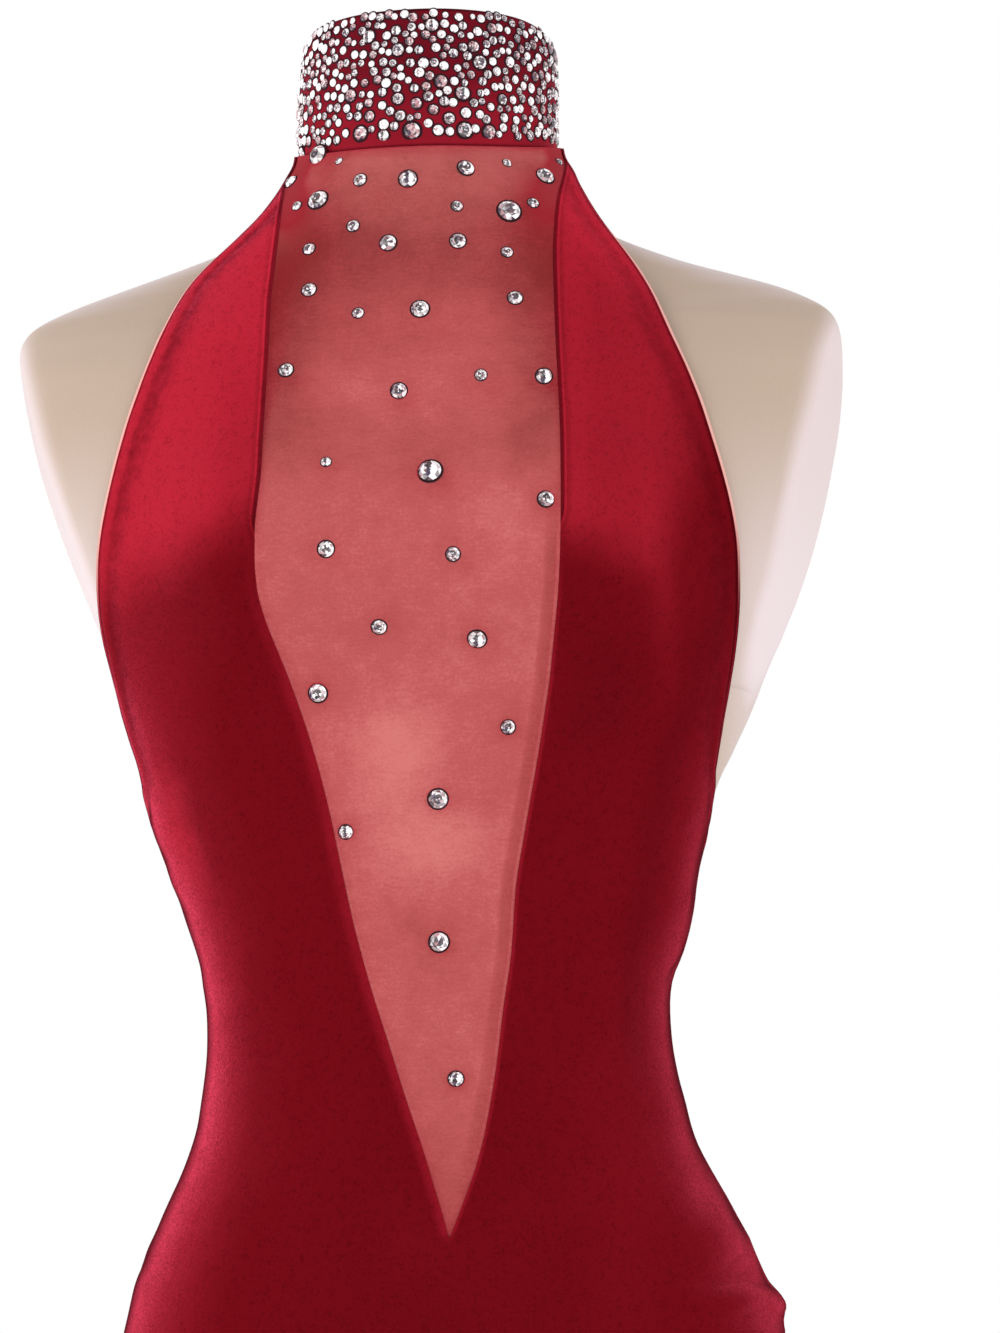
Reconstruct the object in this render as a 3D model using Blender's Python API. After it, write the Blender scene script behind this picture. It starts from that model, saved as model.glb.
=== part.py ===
"""A halter-neck maxi dress of stretch velvet, with a sheer deep-V insert and a tall stand
collar, worn by a limbless dress form on a round stand.

Metres, +Z up, front towards -Y, origin on the floor under the middle of the base.
All tables and sizes below are in millimetres and are turned into metres by to_metres().
"""

import math

import bmesh
import bpy
import numpy as np

# ---------------------------------------------------------------- driving sizes (mm)
EASE = 3.4  # outer face of the cloth, measured from the form
WALL = 1.2  # velvet
MESH_WALL = 1.0  # sheer insert
COLLAR_WALL = 1.8  # doubled cloth
SEAM = 0.4  # space left between two pieces at a seam, measured across

HEM = 56.0
SIDE_TOP = 1117.0  # where the armhole edge crosses the side seam
BACK_LOW = 985.0  # lowest point of the open back
V_POINT = 917.0
V_SHIFT = 9.5  # the V's point sits this far to the wearer's left
WING_TOP = 1439.2

FORM_BOTTOM = 775.0
NECK_TOP = 1484.0
PLATE_FACES_FRONT = math.radians(7.8)

BASE_RADIUS = 170.0
BASE_THICK = 9.0
POLE_RADIUS = 16.0
FLANGE_RADIUS = 42.0
FLANGE_THICK = 8.0

# ---------------------------------------------------------------- tables (mm)
# Horizontal sections of the form. square: 2 is an ellipse, more is boxier, less is lens-shaped.
TORSO = [
    # z, half_width, front, back, square
    (775, 155.0, 95, 118, 2.20),
    (830, 157.5, 97, 121, 2.25),
    (880, 150.5, 98, 116, 2.25),
    (930, 131.0, 94, 102, 2.20),
    (980, 112.0, 86, 87, 2.15),
    (1030, 107.0, 78, 79, 2.10),
    (1080, 118.0, 79, 83, 2.15),
    (1130, 133.5, 85, 88, 2.25),
    (1180, 156.0, 89, 92, 2.35),
    (1226, 181.0, 91, 95, 2.40),
    (1265, 202.0, 91, 96, 2.40),
    (1300, 211.0, 87, 95, 2.30),
    (1330, 211.0, 79, 92, 2.15),
    (1350, 202.0, 70, 86, 1.95),
    (1362, 191.0, 65, 82, 1.70),
    (1371, 175.0, 62, 78, 1.55),
    (1381, 148.0, 59, 74, 1.50),
    (1391, 118.0, 58, 70, 1.50),
    (1402, 88.0, 57, 66, 1.65),
    (1415, 70.0, 57, 61, 1.85),
    (1435, 60.0, 57, 54, 2.00),
    (1465, 58.0, 58, 49, 2.00),
    (1492, 55.5, 57, 47, 2.00),
]
# The dress from the hem to the hips, where the form no longer carries it.
SKIRT = [
    # z, half_width, front, back, square
    (56, 214, 190, 193, 2.05),
    (200, 190, 164, 172, 2.05),
    (350, 168, 138, 154, 2.10),
    (500, 152, 121, 138, 2.15),
    (620, 152, 111, 131, 2.20),
    (720, 157, 104, 126, 2.20),
]
# The dress above the chest, where it hangs as a tent from the collar.
YOKE = [
    # z, half_width, front, back, square
    (1320, 197, 92.5, 90, 2.20),
    (1342, 180, 90, 80, 2.05),
    (1371, 141, 83, 72, 2.00),
    (1391, 117, 78, 66, 2.00),
    (1410, 95, 73, 60, 2.00),
    (1425, 77, 69, 56, 2.00),
    (1437, 65.5, 65.6, 55, 2.00),
    (1448, 63.5, 64.6, 54, 2.00),
]
COLLAR = [
    # z, half_width, front, back, square
    (1425, 63.0, 64.5, 62, 2.00),
    (1446, 62.8, 64.2, 58, 2.00),
    (1466, 62.4, 64.0, 55, 2.00),
    (1482, 61.6, 63.6, 54, 2.00),
    (1493, 59.6, 62.6, 53, 2.00),
    (1503, 57.0, 61.2, 52, 2.00),
]
# Outer face of the arm plate.
PLATE = [
    # z, distance
    (1140, 152.0),
    (1178, 155.0),
    (1207, 161.5),
    (1226, 168.5),
    (1265, 181.0),
    (1304, 191.0),
    (1342, 197.0),
    (1362, 198.5),
]
# Cut edges of the front, measured along the cloth from centre front.
V_EDGE = [
    # z, left, right
    (917, -9.5, 9.5),
    (935, -4.8, 16.5),
    (962, 3.2, 26.0),
    (991, 12.0, 31.0),
    (1019, 21.0, 35.0),
    (1047, 28.7, 38.7),
    (1075, 35.2, 41.6),
    (1103, 41.2, 46.0),
    (1131, 47.4, 52.4),
    (1159, 54.8, 57.4),
    (1187, 63.4, 62.2),
    (1205, 69.6, 65.5),
    (1226, 72.6, 68.0),
    (1245, 72.2, 69.4),
    (1270, 69.8, 70.0),
    (1300, 68.6, 70.0),
    (1340, 67.2, 68.4),
    (1392, 67.6, 68.2),
    (1416, 69.0, 70.0),
    (1428, 71.4, 72.2),
    (1440, 73.0, 73.8),
]
ARMHOLE = [
    # z, girth
    (1117, 177.0),
    (1121, 171.5),
    (1127, 166.5),
    (1137, 162.5),
    (1155, 160.8),
    (1173, 161.2),
    (1191, 164.0),
    (1209, 167.8),
    (1227, 169.8),
    (1245, 166.0),
    (1263, 159.2),
    (1282, 150.6),
    (1301, 142.6),
    (1322, 136.0),
    (1342, 128.6),
    (1362, 121.0),
    (1373, 115.6),
    (1383, 108.0),
    (1393, 99.0),
    (1403, 90.6),
    (1413, 84.2),
    (1425, 79.6),
    (1433, 77.6),
    (1440, 77.4),
]
# Soft vertical folds of the skirt. A ridge stands out by depth at the hem and fades out at top.
FOLDS = [
    # angle from centre front (deg), width (deg), depth, top
    (-158, 15, 11, 640),
    (-121, 13, 14, 700),
    (-83, 12, 12, 660),
    (-44, 12, 10, 560),
    (-14, 11, 12, 610),
    (22, 13, 9, 520),
    (57, 12, 13, 650),
    (94, 12, 14, 720),
    (133, 14, 10, 580),
]
# Small wrinkles of slack cloth at the side seams.
WRINKLES = [
    # angle (deg), width (deg), z, height, depth
    (-84, 20, 1116, 42, 5.5),
    (96, 14, 938, 22, 2.0),
    (96, 15, 892, 17, 6.0),
    (-96, 16, 925, 26, 1.5),
]
BUST = {"height": 1236, "apart": 82, "spread": 48, "depth": 32, "above": 75, "below": 45}
CLOTH_BRIDGE = 0.86  # how far the cloth spans the hollow between the bust cups
FORM_BRIDGE = 0.60


# ---------------------------------------------------------------- shape functions
def between(rows, column, z):
    """Value of one table column at height z, as a smooth curve that never overshoots its rows."""
    keys = np.array([row[0] for row in rows], float)
    values = np.array([row[column] for row in rows], float)
    step = np.diff(keys)
    rise = np.diff(values) / step
    slope = np.zeros(len(keys))
    slope[0], slope[-1] = rise[0], rise[-1]
    for i in range(1, len(keys) - 1):
        if rise[i - 1] * rise[i] > 0:
            slope[i] = 2 * rise[i - 1] * rise[i] / (rise[i - 1] + rise[i])
    z = min(max(z, keys[0]), keys[-1])
    i = min(int(np.searchsorted(keys, z, side="right")) - 1, len(step) - 1)
    t = (z - keys[i]) / step[i]
    return (
        (1 + 2 * t) * (1 - t) ** 2 * values[i]
        + t * (1 - t) ** 2 * step[i] * slope[i]
        + t * t * (3 - 2 * t) * values[i + 1]
        + t * t * (t - 1) * step[i] * slope[i + 1]
    )


def dress_rows():
    carried = [
        (z, width + EASE, front + EASE, back + EASE, square)
        for z, width, front, back, square in TORSO
        if 800 < z <= 1300
    ]
    return SKIRT + carried + YOKE


DRESS = dress_rows()


def bust(x, z, bridge):
    """Depth added by the bust cups at a distance x from the middle."""
    side = np.abs(x)
    inside = np.clip(side / BUST["apart"], 0, 1)
    inner = bridge + (1 - bridge) * (0.5 - 0.5 * np.cos(math.pi * inside))
    outer = np.exp(-(((side - BUST["apart"]) / BUST["spread"]) ** 2))
    reach = BUST["above"] if z > BUST["height"] else BUST["below"]
    upright = math.exp(-(((z - BUST["height"]) / reach) ** 2))
    return BUST["depth"] * upright * np.where(side < BUST["apart"], inner, outer)


def half_section(rows, z, bridge=None, samples=361):
    """Half of a horizontal section, from centre front to centre back on the +X side."""
    angle = np.linspace(0, math.pi, samples)
    width, front, back, square = (between(rows, column, z) for column in (1, 2, 3, 4))
    across = np.abs(np.sin(angle)) ** (2 / square)
    along = np.abs(np.cos(angle)) ** (2 / square)
    x = width * across
    deep = front + (bust(x, z, bridge) if bridge is not None else 0)
    y = np.where(angle < math.pi / 2, -deep * along, back * along)
    return angle, x, y


def drape(z, angle, side):
    """How far the hanging cloth stands out of its plain section."""
    degrees = np.degrees(angle) * side
    out = np.zeros_like(degrees)
    for at, width, depth, top in FOLDS:
        if z < top:
            grow = (top - z) / (top - HEM)
            away = (degrees - at + 180) % 360 - 180
            out += depth * grow**1.5 * np.exp(-((away / width) ** 2))
    for at, width, level, height, depth in WRINKLES:
        away = (degrees - at + 180) % 360 - 180
        out += depth * np.exp(-((away / width) ** 2) - ((z - level) / height) ** 2)
    return out


HALVES = {}


def cloth_half(z, side):
    """Outer face of the cloth on one side: x, y and the girth from centre front."""
    key = (round(float(z), 4), side)
    if key not in HALVES:
        angle, x, y = half_section(DRESS, z, CLOTH_BRIDGE)
        out = drape(z, angle, side)
        reach = np.hypot(x, y)
        x, y = side * x * (1 + out / reach), y * (1 + out / reach)
        girth = np.concatenate([[0], np.cumsum(np.hypot(np.diff(x), np.diff(y)))])
        HALVES[key] = x, y, girth
    return HALVES[key]


def side_girth(z, side):
    _, _, girth = cloth_half(z, side)
    return girth[len(girth) // 2]


def whole_girth(z, side):
    return cloth_half(z, side)[2][-1]


def cloth_point(z, girth):
    """Point on the cloth at a signed girth from centre front, + towards +X."""
    x, y, along = cloth_half(z, 1 if girth >= 0 else -1)
    return np.array([np.interp(abs(girth), along, x), np.interp(abs(girth), along, y), z])


def cloth_inside(z, girth, wall):
    """The point a wall's thickness straight in from the cloth's outer face."""
    limit = whole_girth(z, 1 if girth >= 0 else -1)
    before, after = max(girth - 1.5, -limit), min(girth + 1.5, limit)
    along = cloth_point(z, after) - cloth_point(z, before)
    upward = cloth_point(z + 2, girth) - cloth_point(z - 2, girth)
    out = np.cross(along, upward)
    return cloth_point(z, girth) - wall * out / np.linalg.norm(out)


def collar_low(angle):
    """Height of the collar's lower edge: it rises from centre front to the sides and the back."""
    turn = 1.0 - np.cos(angle)
    return 1434.5 + 9.5 * min(turn, 1.0) ** 1.3 + 2.5 * max(turn - 1.0, 0.0)


def collar_high(angle):
    """Height of the collar's upper edge: level in front, a little lower behind the ears."""
    turn = 0.5 - 0.5 * np.cos(angle)
    return 1501.0 - 4.5 * min(1.0, 1.6 * turn) ** 2


# ---------------------------------------------------------------- building helpers
def to_metres(points):
    return [tuple(0.001 * float(value) for value in point) for point in points]


def material(name, colour, roughness, metallic=0.0):
    made = bpy.data.materials.new(name)
    made.use_nodes = True
    shader = made.node_tree.nodes["Principled BSDF"]
    shader.inputs["Base Color"].default_value = (*colour, 1.0)
    shader.inputs["Roughness"].default_value = roughness
    shader.inputs["Metallic"].default_value = metallic
    made.diffuse_color = (*colour, 1.0)
    return made


def new_object(name, points, faces, finish, closed=True):
    mesh = bpy.data.meshes.new(name)
    mesh.from_pydata(to_metres(points), [], faces)
    work = bmesh.new()
    work.from_mesh(mesh)
    if closed:
        bmesh.ops.recalc_face_normals(work, faces=work.faces)
    work.to_mesh(mesh)
    work.free()
    mesh.materials.append(finish)
    mesh.shade_smooth()
    mesh.set_sharp_from_angle(angle=math.radians(40))
    made = bpy.data.objects.new(name, mesh)
    bpy.context.scene.collection.objects.link(made)
    return made


def shell(name, places, faces, wall, finish):
    """A wall of cloth: places are (height, girth) pairs on its outer face."""
    outer = [cloth_point(z, girth) for z, girth in places]
    inner = [cloth_inside(z, girth, wall) for z, girth in places]
    count = len(outer)
    uses = {}
    for face in faces:
        for a, b in zip(face, face[1:] + face[:1]):
            uses[frozenset((a, b))] = uses.get(frozenset((a, b)), []) + [(a, b)]
    rim = [pairs[0] for pairs in uses.values() if len(pairs) == 1]
    faces = (
        list(faces)
        + [tuple(count + k for k in reversed(face)) for face in faces]
        + [(b, a, count + a, count + b) for a, b in rim]
    )
    return new_object(name, outer + inner, faces, finish)


def add_wall(obj, thickness):
    """Thickens a sheet whose faces look outwards, on its inner side."""
    wall = obj.modifiers.new("wall", "SOLIDIFY")
    wall.thickness = 0.001 * thickness
    wall.offset = -1.0
    wall.use_even_offset = True
    wall.use_rim = True
    return obj


def grid_faces(rows, columns, first=0):
    return [
        (
            first + i * columns + j,
            first + i * columns + j + 1,
            first + (i + 1) * columns + j + 1,
            first + (i + 1) * columns + j,
        )
        for i in range(rows - 1)
        for j in range(columns - 1)
    ]


def spread(*stops):
    """Levels from (end, number of steps) pairs, after a first level."""
    levels = [stops[0]]
    for end, steps in stops[1:]:
        levels += list(np.linspace(levels[-1], end, steps + 1)[1:])
    return levels


# ---------------------------------------------------------------- dress pieces
def v_edge(z, side):
    return side * between(V_EDGE, 1 if side < 0 else 2, z)


def outer_edge(z, side):
    if z < SIDE_TOP:
        return side * (side_girth(z, side) - SEAM / 2)
    return side * min(between(ARMHOLE, 1, z), side_girth(z, side) - SEAM / 2)


V_LEVELS = spread(V_POINT, (V_POINT + 10, 1), (SIDE_TOP, 9), (1330, 12), (WING_TOP, 9))


def front_panel(finish):
    """The velvet front in one piece, from the hem to the two halter wings, with the V cut out."""
    levels = spread(HEM, (420, 6), (720, 7), (V_POINT, 8)) + V_LEVELS[1:]
    columns = 10
    places, faces, index = [], [], {}
    for i, z in enumerate(levels):
        for side in (-1, 1):
            if z <= V_POINT:
                inner = V_SHIFT
            else:
                inner = v_edge(z, side) + side * SEAM / 2
            outer = outer_edge(z, side)
            for j in range(columns + 1):
                if side > 0 and j == 0 and z <= V_POINT:
                    index[i, side, j] = index[i, -1, 0]
                    continue
                index[i, side, j] = len(places)
                places.append((z, inner + (outer - inner) * j / columns))
    for i in range(len(levels) - 1):
        for side in (-1, 1):
            for j in range(columns):
                face = (
                    index[i, side, j],
                    index[i, side, j + 1],
                    index[i + 1, side, j + 1],
                    index[i + 1, side, j],
                )
                faces.append(face[::side])
    return shell("front_panel", places, faces, WALL, finish)


def back_panel(finish):
    """The velvet back, from the hem to the low scooped opening."""
    columns, rows = 24, 31
    places = []
    for i in range(rows + 1):
        share = (i / rows) ** 0.85
        for j in range(columns + 1):
            turn = 1 - 2 * j / columns
            top = BACK_LOW + (SIDE_TOP - BACK_LOW) * abs(turn) ** 2.0
            z = HEM + (top - HEM) * share
            side = 1 if turn >= 0 else -1
            first = side_girth(z, side) + SEAM / 2
            girth = first + (whole_girth(z, side) - first) * (1 - abs(turn))
            places.append((z, side * girth))
    return shell("back_panel", places, grid_faces(rows + 1, columns + 1), WALL, finish)


def mesh_insert(finish):
    """The sheer V insert, from its point to the collar seam."""
    columns = 10
    places = []
    levels = V_LEVELS[1:]
    for level in levels:
        lift = max(0.0, (level - 1380) / (WING_TOP - 1380)) ** 2
        for j in range(columns + 1):
            left = v_edge(level, -1) + SEAM / 2
            right = v_edge(level, 1) - SEAM / 2
            girth = left + (right - left) * j / columns
            reach = min(1.0, abs(girth) / side_girth(WING_TOP, 1))
            seam = collar_low(reach * math.pi / 2) - SEAM
            end = collar_low(abs(right) / side_girth(WING_TOP, 1) * math.pi / 2) - SEAM
            places.append((level + lift * (seam - end), girth))
    faces = grid_faces(len(levels), columns + 1)
    return shell("mesh_insert", places, faces, MESH_WALL, finish)


def collar(finish):
    """The stand collar: one band whose ends meet at centre back."""
    columns, rows = 44, 4
    gap = math.radians(0.6)
    points = []
    for i in range(rows + 1):
        for j in range(columns + 1):
            angle = -math.pi + gap + (2 * math.pi - 2 * gap) * j / columns
            z = collar_low(angle) + (collar_high(angle) - collar_low(angle)) * i / rows
            turn, x, y = half_section(COLLAR, z)
            points.append(
                (
                    math.copysign(np.interp(abs(angle), turn, x), angle),
                    np.interp(abs(angle), turn, y),
                    z,
                )
            )
    faces = grid_faces(rows + 1, columns + 1)
    return add_wall(new_object("collar", points, faces, finish, closed=False), COLLAR_WALL)


def neck_hook(name, z, finish):
    """A flat hook-and-bar fastening across the collar's opening at centre back."""
    back = between(COLLAR, 3, z)
    made = bpy.data.meshes.new(name)
    work = bmesh.new()
    bmesh.ops.create_cube(work, size=1.0)
    for vert in work.verts:
        vert.co = (vert.co.x * 0.010, vert.co.y * 0.0010, vert.co.z * 0.0045)
    upright = [
        edge for edge in work.edges if abs(edge.verts[0].co.y - edge.verts[1].co.y) > 1e-5
    ]
    bmesh.ops.bevel(work, geom=upright, offset=0.0012, segments=2, affect="EDGES")
    work.to_mesh(made)
    work.free()
    made.materials.append(finish)
    hook = bpy.data.objects.new(name, made)
    hook.location = (0.0, 0.001 * (back + 0.45 + 0.5), 0.001 * z)
    bpy.context.scene.collection.objects.link(hook)
    return hook


# ---------------------------------------------------------------- the form and its stand
def form_half(z, front_steps, plate_steps, back_steps):
    """Half of the form's section, with the arm plate cut flat and an even row of points."""
    _, x, y = half_section(TORSO, z, FORM_BRIDGE, 721)
    limit = between(PLATE, 1, z) + y * math.tan(PLATE_FACES_FRONT)
    widest = int(np.argmax(x))
    over = np.nonzero(x > limit)[0] if 1140 < z < 1362 else []
    x = np.minimum(x, limit) if len(over) else x
    girth = np.concatenate([[0], np.cumsum(np.hypot(np.diff(x), np.diff(y)))])
    first, last = girth[widest] - 4, girth[widest] + 4
    if len(over):
        first, last = min(first, girth[over[0]]), max(last, girth[over[-1]])
    stops = np.concatenate(
        [
            np.linspace(0, first, front_steps + 1)[:-1],
            np.linspace(first, last, plate_steps + 1)[:-1],
            np.linspace(last, girth[-1], back_steps + 1),
        ]
    )
    return np.interp(stops, girth, x), np.interp(stops, girth, y)


def torso(finish):
    """The form's body, with flat arm plates, from the hips to the top of the neck."""
    levels = spread(
        FORM_BOTTOM, (FORM_BOTTOM + 3, 1), (1130, 18), (1330, 10), (1350, 2), (1415, 10), (NECK_TOP, 4)
    )
    points, faces = [], []
    for z in levels:
        x, y = form_half(z, 9, 3, 8)
        shrink = 0.985 if z in (FORM_BOTTOM, NECK_TOP) else 1.0
        loop = list(zip(x, y)) + [(-a, b) for a, b in list(zip(x, y))[-2:0:-1]]
        points += [(a * shrink, b * shrink, z) for a, b in loop]
    around = len(points) // len(levels)
    for i in range(len(levels) - 1):
        for j in range(around):
            after = (j + 1) % around
            faces.append(
                (
                    i * around + j,
                    i * around + after,
                    (i + 1) * around + after,
                    (i + 1) * around + j,
                )
            )
    faces.append(tuple(range(around))[::-1])
    faces.append(tuple(len(points) - around + j for j in range(around)))
    return new_object("form_torso", points, faces, finish)


def neck_cap(finish):
    """The domed wooden cap on the neck."""
    points, faces = [], []
    profile = [(0.3, 0.95), (1.5, 0.975), (3.5, 0.96), (5.0, 0.86), (6.0, 0.55)]
    around = 36
    for rise, scale in profile:
        turn, x, y = half_section(TORSO, NECK_TOP)
        for j in range(around):
            angle = 2 * math.pi * j / around - math.pi
            points.append(
                (
                    scale * math.copysign(np.interp(abs(angle), turn, x), angle),
                    scale * np.interp(abs(angle), turn, y),
                    NECK_TOP + rise,
                )
            )
    for i in range(len(profile) - 1):
        for j in range(around):
            after = (j + 1) % around
            faces.append(
                (
                    i * around + j,
                    i * around + after,
                    (i + 1) * around + after,
                    (i + 1) * around + j,
                )
            )
    faces.append(tuple(range(around))[::-1])
    faces.append(tuple(len(points) - around + j for j in range(around)))
    return new_object("form_neck_cap", points, faces, finish)


def turned(name, profile, around, finish):
    """A solid of revolution about the upright axis, from (radius, height) pairs."""
    mesh = bpy.data.meshes.new(name)
    work = bmesh.new()
    verts = [work.verts.new((0.001 * r, 0.0, 0.001 * z)) for r, z in profile]
    edges = [work.edges.new(pair) for pair in zip(verts, verts[1:])]
    bmesh.ops.spin(
        work,
        geom=verts + edges,
        cent=(0, 0, 0),
        axis=(0, 0, 1),
        angle=2 * math.pi,
        steps=around,
        use_merge=True,
    )
    bmesh.ops.remove_doubles(work, verts=work.verts, dist=0.00001)
    bmesh.ops.recalc_face_normals(work, faces=work.faces)
    work.to_mesh(mesh)
    work.free()
    mesh.materials.append(finish)
    mesh.shade_smooth()
    mesh.set_sharp_from_angle(angle=math.radians(35))
    made = bpy.data.objects.new(name, mesh)
    bpy.context.scene.collection.objects.link(made)
    return made


def main():
    for old in list(bpy.data.objects):
        bpy.data.objects.remove(old, do_unlink=True)

    velvet = material("velvet_red", (0.180, 0.004, 0.010), 0.62)
    sheer = material("mesh_red", (0.420, 0.060, 0.060), 0.70)
    collar_cloth = material("collar_red", (0.270, 0.008, 0.016), 0.60)
    steel = material("hook_steel", (0.62, 0.62, 0.63), 0.28, 1.0)
    cream = material("form_cream", (0.720, 0.600, 0.480), 0.75)
    wood = material("cap_wood", (0.480, 0.300, 0.160), 0.45)
    painted = material("stand_metal", (0.60, 0.60, 0.61), 0.35, 1.0)

    pieces = [
        collar(collar_cloth),
        mesh_insert(sheer),
        front_panel(velvet),
        back_panel(velvet),
        neck_hook("neck_hook_upper", 1481.0, steel),
        neck_hook("neck_hook_lower", 1453.0, steel),
        torso(cream),
        neck_cap(wood),
    ]
    top = FORM_BOTTOM - 0.3
    pieces.append(
        turned(
            "pole_flange",
            [
                (0, top - FLANGE_THICK),
                (FLANGE_RADIUS - 1, top - FLANGE_THICK),
                (FLANGE_RADIUS, top - FLANGE_THICK + 1),
                (FLANGE_RADIUS, top - 1),
                (FLANGE_RADIUS - 1, top),
                (0, top),
            ],
            32,
            painted,
        )
    )
    pole_top = top - FLANGE_THICK - 0.3
    pieces.append(
        turned(
            "pole",
            [
                (0, BASE_THICK + 0.3),
                (POLE_RADIUS, BASE_THICK + 0.3),
                (POLE_RADIUS, pole_top),
                (0, pole_top),
            ],
            28,
            painted,
        )
    )
    pieces.append(
        turned(
            "base_plate",
            [
                (0, 0),
                (BASE_RADIUS - 1.5, 0),
                (BASE_RADIUS, 1.5),
                (BASE_RADIUS, BASE_THICK - 3.5),
                (BASE_RADIUS - 1.2, BASE_THICK - 1.2),
                (BASE_RADIUS - 4, BASE_THICK),
                (0, BASE_THICK),
            ],
            56,
            painted,
        )
    )

    root = bpy.data.objects.new("dress_on_form", None)
    bpy.context.scene.collection.objects.link(root)
    for piece in pieces:
        piece.parent = root


main()
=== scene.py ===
import math

import bpy
import numpy as np
from mathutils import Matrix, Vector
from mathutils.bvhtree import BVHTree


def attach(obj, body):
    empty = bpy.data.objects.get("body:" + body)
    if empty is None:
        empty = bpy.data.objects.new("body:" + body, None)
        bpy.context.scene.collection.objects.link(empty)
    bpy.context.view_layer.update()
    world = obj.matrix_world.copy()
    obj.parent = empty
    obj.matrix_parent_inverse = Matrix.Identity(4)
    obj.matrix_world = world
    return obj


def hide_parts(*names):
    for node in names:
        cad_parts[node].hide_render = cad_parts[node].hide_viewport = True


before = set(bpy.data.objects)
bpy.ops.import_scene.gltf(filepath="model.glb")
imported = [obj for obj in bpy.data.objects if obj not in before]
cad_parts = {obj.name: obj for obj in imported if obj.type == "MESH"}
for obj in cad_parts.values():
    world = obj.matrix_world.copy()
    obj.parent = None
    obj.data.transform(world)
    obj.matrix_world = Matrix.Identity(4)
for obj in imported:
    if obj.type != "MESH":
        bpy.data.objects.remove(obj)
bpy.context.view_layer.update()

# Lengths in this file are in millimetres until to_mesh() turns them into metres.
# Front towards -Y, +X towards the wearer's left, +Z up.

# ---------------------------------------------------------------- the garment's own sizes
EASE = 3.4  # outer face of the cloth, measured from the form
WALL = 1.2
COLLAR_WALL = 1.8
SEAM = 0.4
HEM = 56.0
SIDE_TOP = 1117.0
BACK_LOW = 985.0
V_POINT = 917.0
V_SHIFT = 9.5
WING_TOP = 1439.2
FORM_BOTTOM = 775.0
NECK_TOP = 1484.0
PLATE_FACES_FRONT = math.radians(7.8)

TORSO = [
    # z, half_width, front, back, square
    (775, 155.0, 95, 118, 2.20),
    (830, 157.5, 97, 121, 2.25),
    (880, 150.5, 98, 116, 2.25),
    (930, 131.0, 94, 102, 2.20),
    (980, 112.0, 86, 87, 2.15),
    (1030, 107.0, 78, 79, 2.10),
    (1080, 118.0, 79, 83, 2.15),
    (1130, 133.5, 85, 88, 2.25),
    (1180, 156.0, 89, 92, 2.35),
    (1226, 181.0, 91, 95, 2.40),
    (1265, 202.0, 91, 96, 2.40),
    (1300, 211.0, 87, 95, 2.30),
    (1330, 211.0, 79, 92, 2.15),
    (1350, 202.0, 70, 86, 1.95),
    (1362, 191.0, 65, 82, 1.70),
    (1371, 175.0, 62, 78, 1.55),
    (1381, 148.0, 59, 74, 1.50),
    (1391, 118.0, 58, 70, 1.50),
    (1402, 88.0, 57, 66, 1.65),
    (1415, 70.0, 57, 61, 1.85),
    (1435, 60.0, 57, 54, 2.00),
    (1465, 58.0, 58, 49, 2.00),
    (1492, 55.5, 57, 47, 2.00),
]
SKIRT = [
    # z, half_width, front, back, square
    (56, 214, 190, 193, 2.05),
    (200, 190, 164, 172, 2.05),
    (350, 168, 138, 154, 2.10),
    (500, 152, 121, 138, 2.15),
    (620, 152, 111, 131, 2.20),
    (720, 157, 104, 126, 2.20),
]
YOKE = [
    # z, half_width, front, back, square
    (1320, 197, 92.5, 90, 2.20),
    (1342, 180, 90, 80, 2.05),
    (1371, 141, 83, 72, 2.00),
    (1391, 117, 78, 66, 2.00),
    (1410, 95, 73, 60, 2.00),
    (1425, 77, 69, 56, 2.00),
    (1437, 65.5, 65.6, 55, 2.00),
    (1448, 63.5, 64.6, 54, 2.00),
]
COLLAR = [
    # z, half_width, front, back, square
    (1425, 62.8, 64.5, 62, 2.00),
    (1446, 62.5, 64.2, 58, 2.00),
    (1466, 62.4, 64.0, 55, 2.00),
    (1482, 61.9, 63.6, 54, 2.00),
    (1493, 60.3, 62.6, 53, 2.00),
    (1503, 57.2, 61.2, 52, 2.00),
]
COLLAR_LEAN = 1.0
PLATE = [
    # z, distance of the arm plate from the middle
    (1140, 152.0),
    (1178, 155.0),
    (1207, 161.5),
    (1226, 168.5),
    (1265, 181.0),
    (1304, 191.0),
    (1342, 197.0),
    (1362, 198.5),
]
V_EDGE = [
    # z, left, right: cut edges of the V, measured along the cloth from centre front
    (917, -9.5, 9.5),
    (935, -4.8, 16.5),
    (962, 3.2, 26.0),
    (991, 12.0, 31.0),
    (1019, 21.0, 35.0),
    (1047, 28.7, 38.7),
    (1075, 35.2, 41.6),
    (1103, 41.2, 46.0),
    (1131, 47.4, 52.4),
    (1159, 54.8, 57.4),
    (1187, 63.4, 62.2),
    (1205, 69.6, 65.5),
    (1226, 72.6, 68.0),
    (1245, 72.2, 69.4),
    (1270, 69.8, 70.0),
    (1300, 68.6, 70.0),
    (1340, 67.2, 68.4),
    (1392, 67.6, 68.2),
    (1416, 69.0, 70.0),
    (1428, 71.4, 72.2),
    (1440, 73.0, 73.8),
]
ARMHOLE = [
    # z, girth of the armhole edge
    (1117, 177.0),
    (1121, 171.5),
    (1127, 166.5),
    (1137, 162.5),
    (1155, 160.8),
    (1173, 161.2),
    (1191, 164.0),
    (1209, 167.8),
    (1227, 169.8),
    (1245, 166.0),
    (1263, 159.2),
    (1282, 150.6),
    (1301, 142.6),
    (1322, 136.0),
    (1342, 128.6),
    (1362, 121.0),
    (1373, 115.6),
    (1383, 108.0),
    (1393, 99.0),
    (1403, 90.6),
    (1413, 84.2),
    (1425, 79.6),
    (1433, 77.6),
    (1440, 77.4),
]
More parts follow.
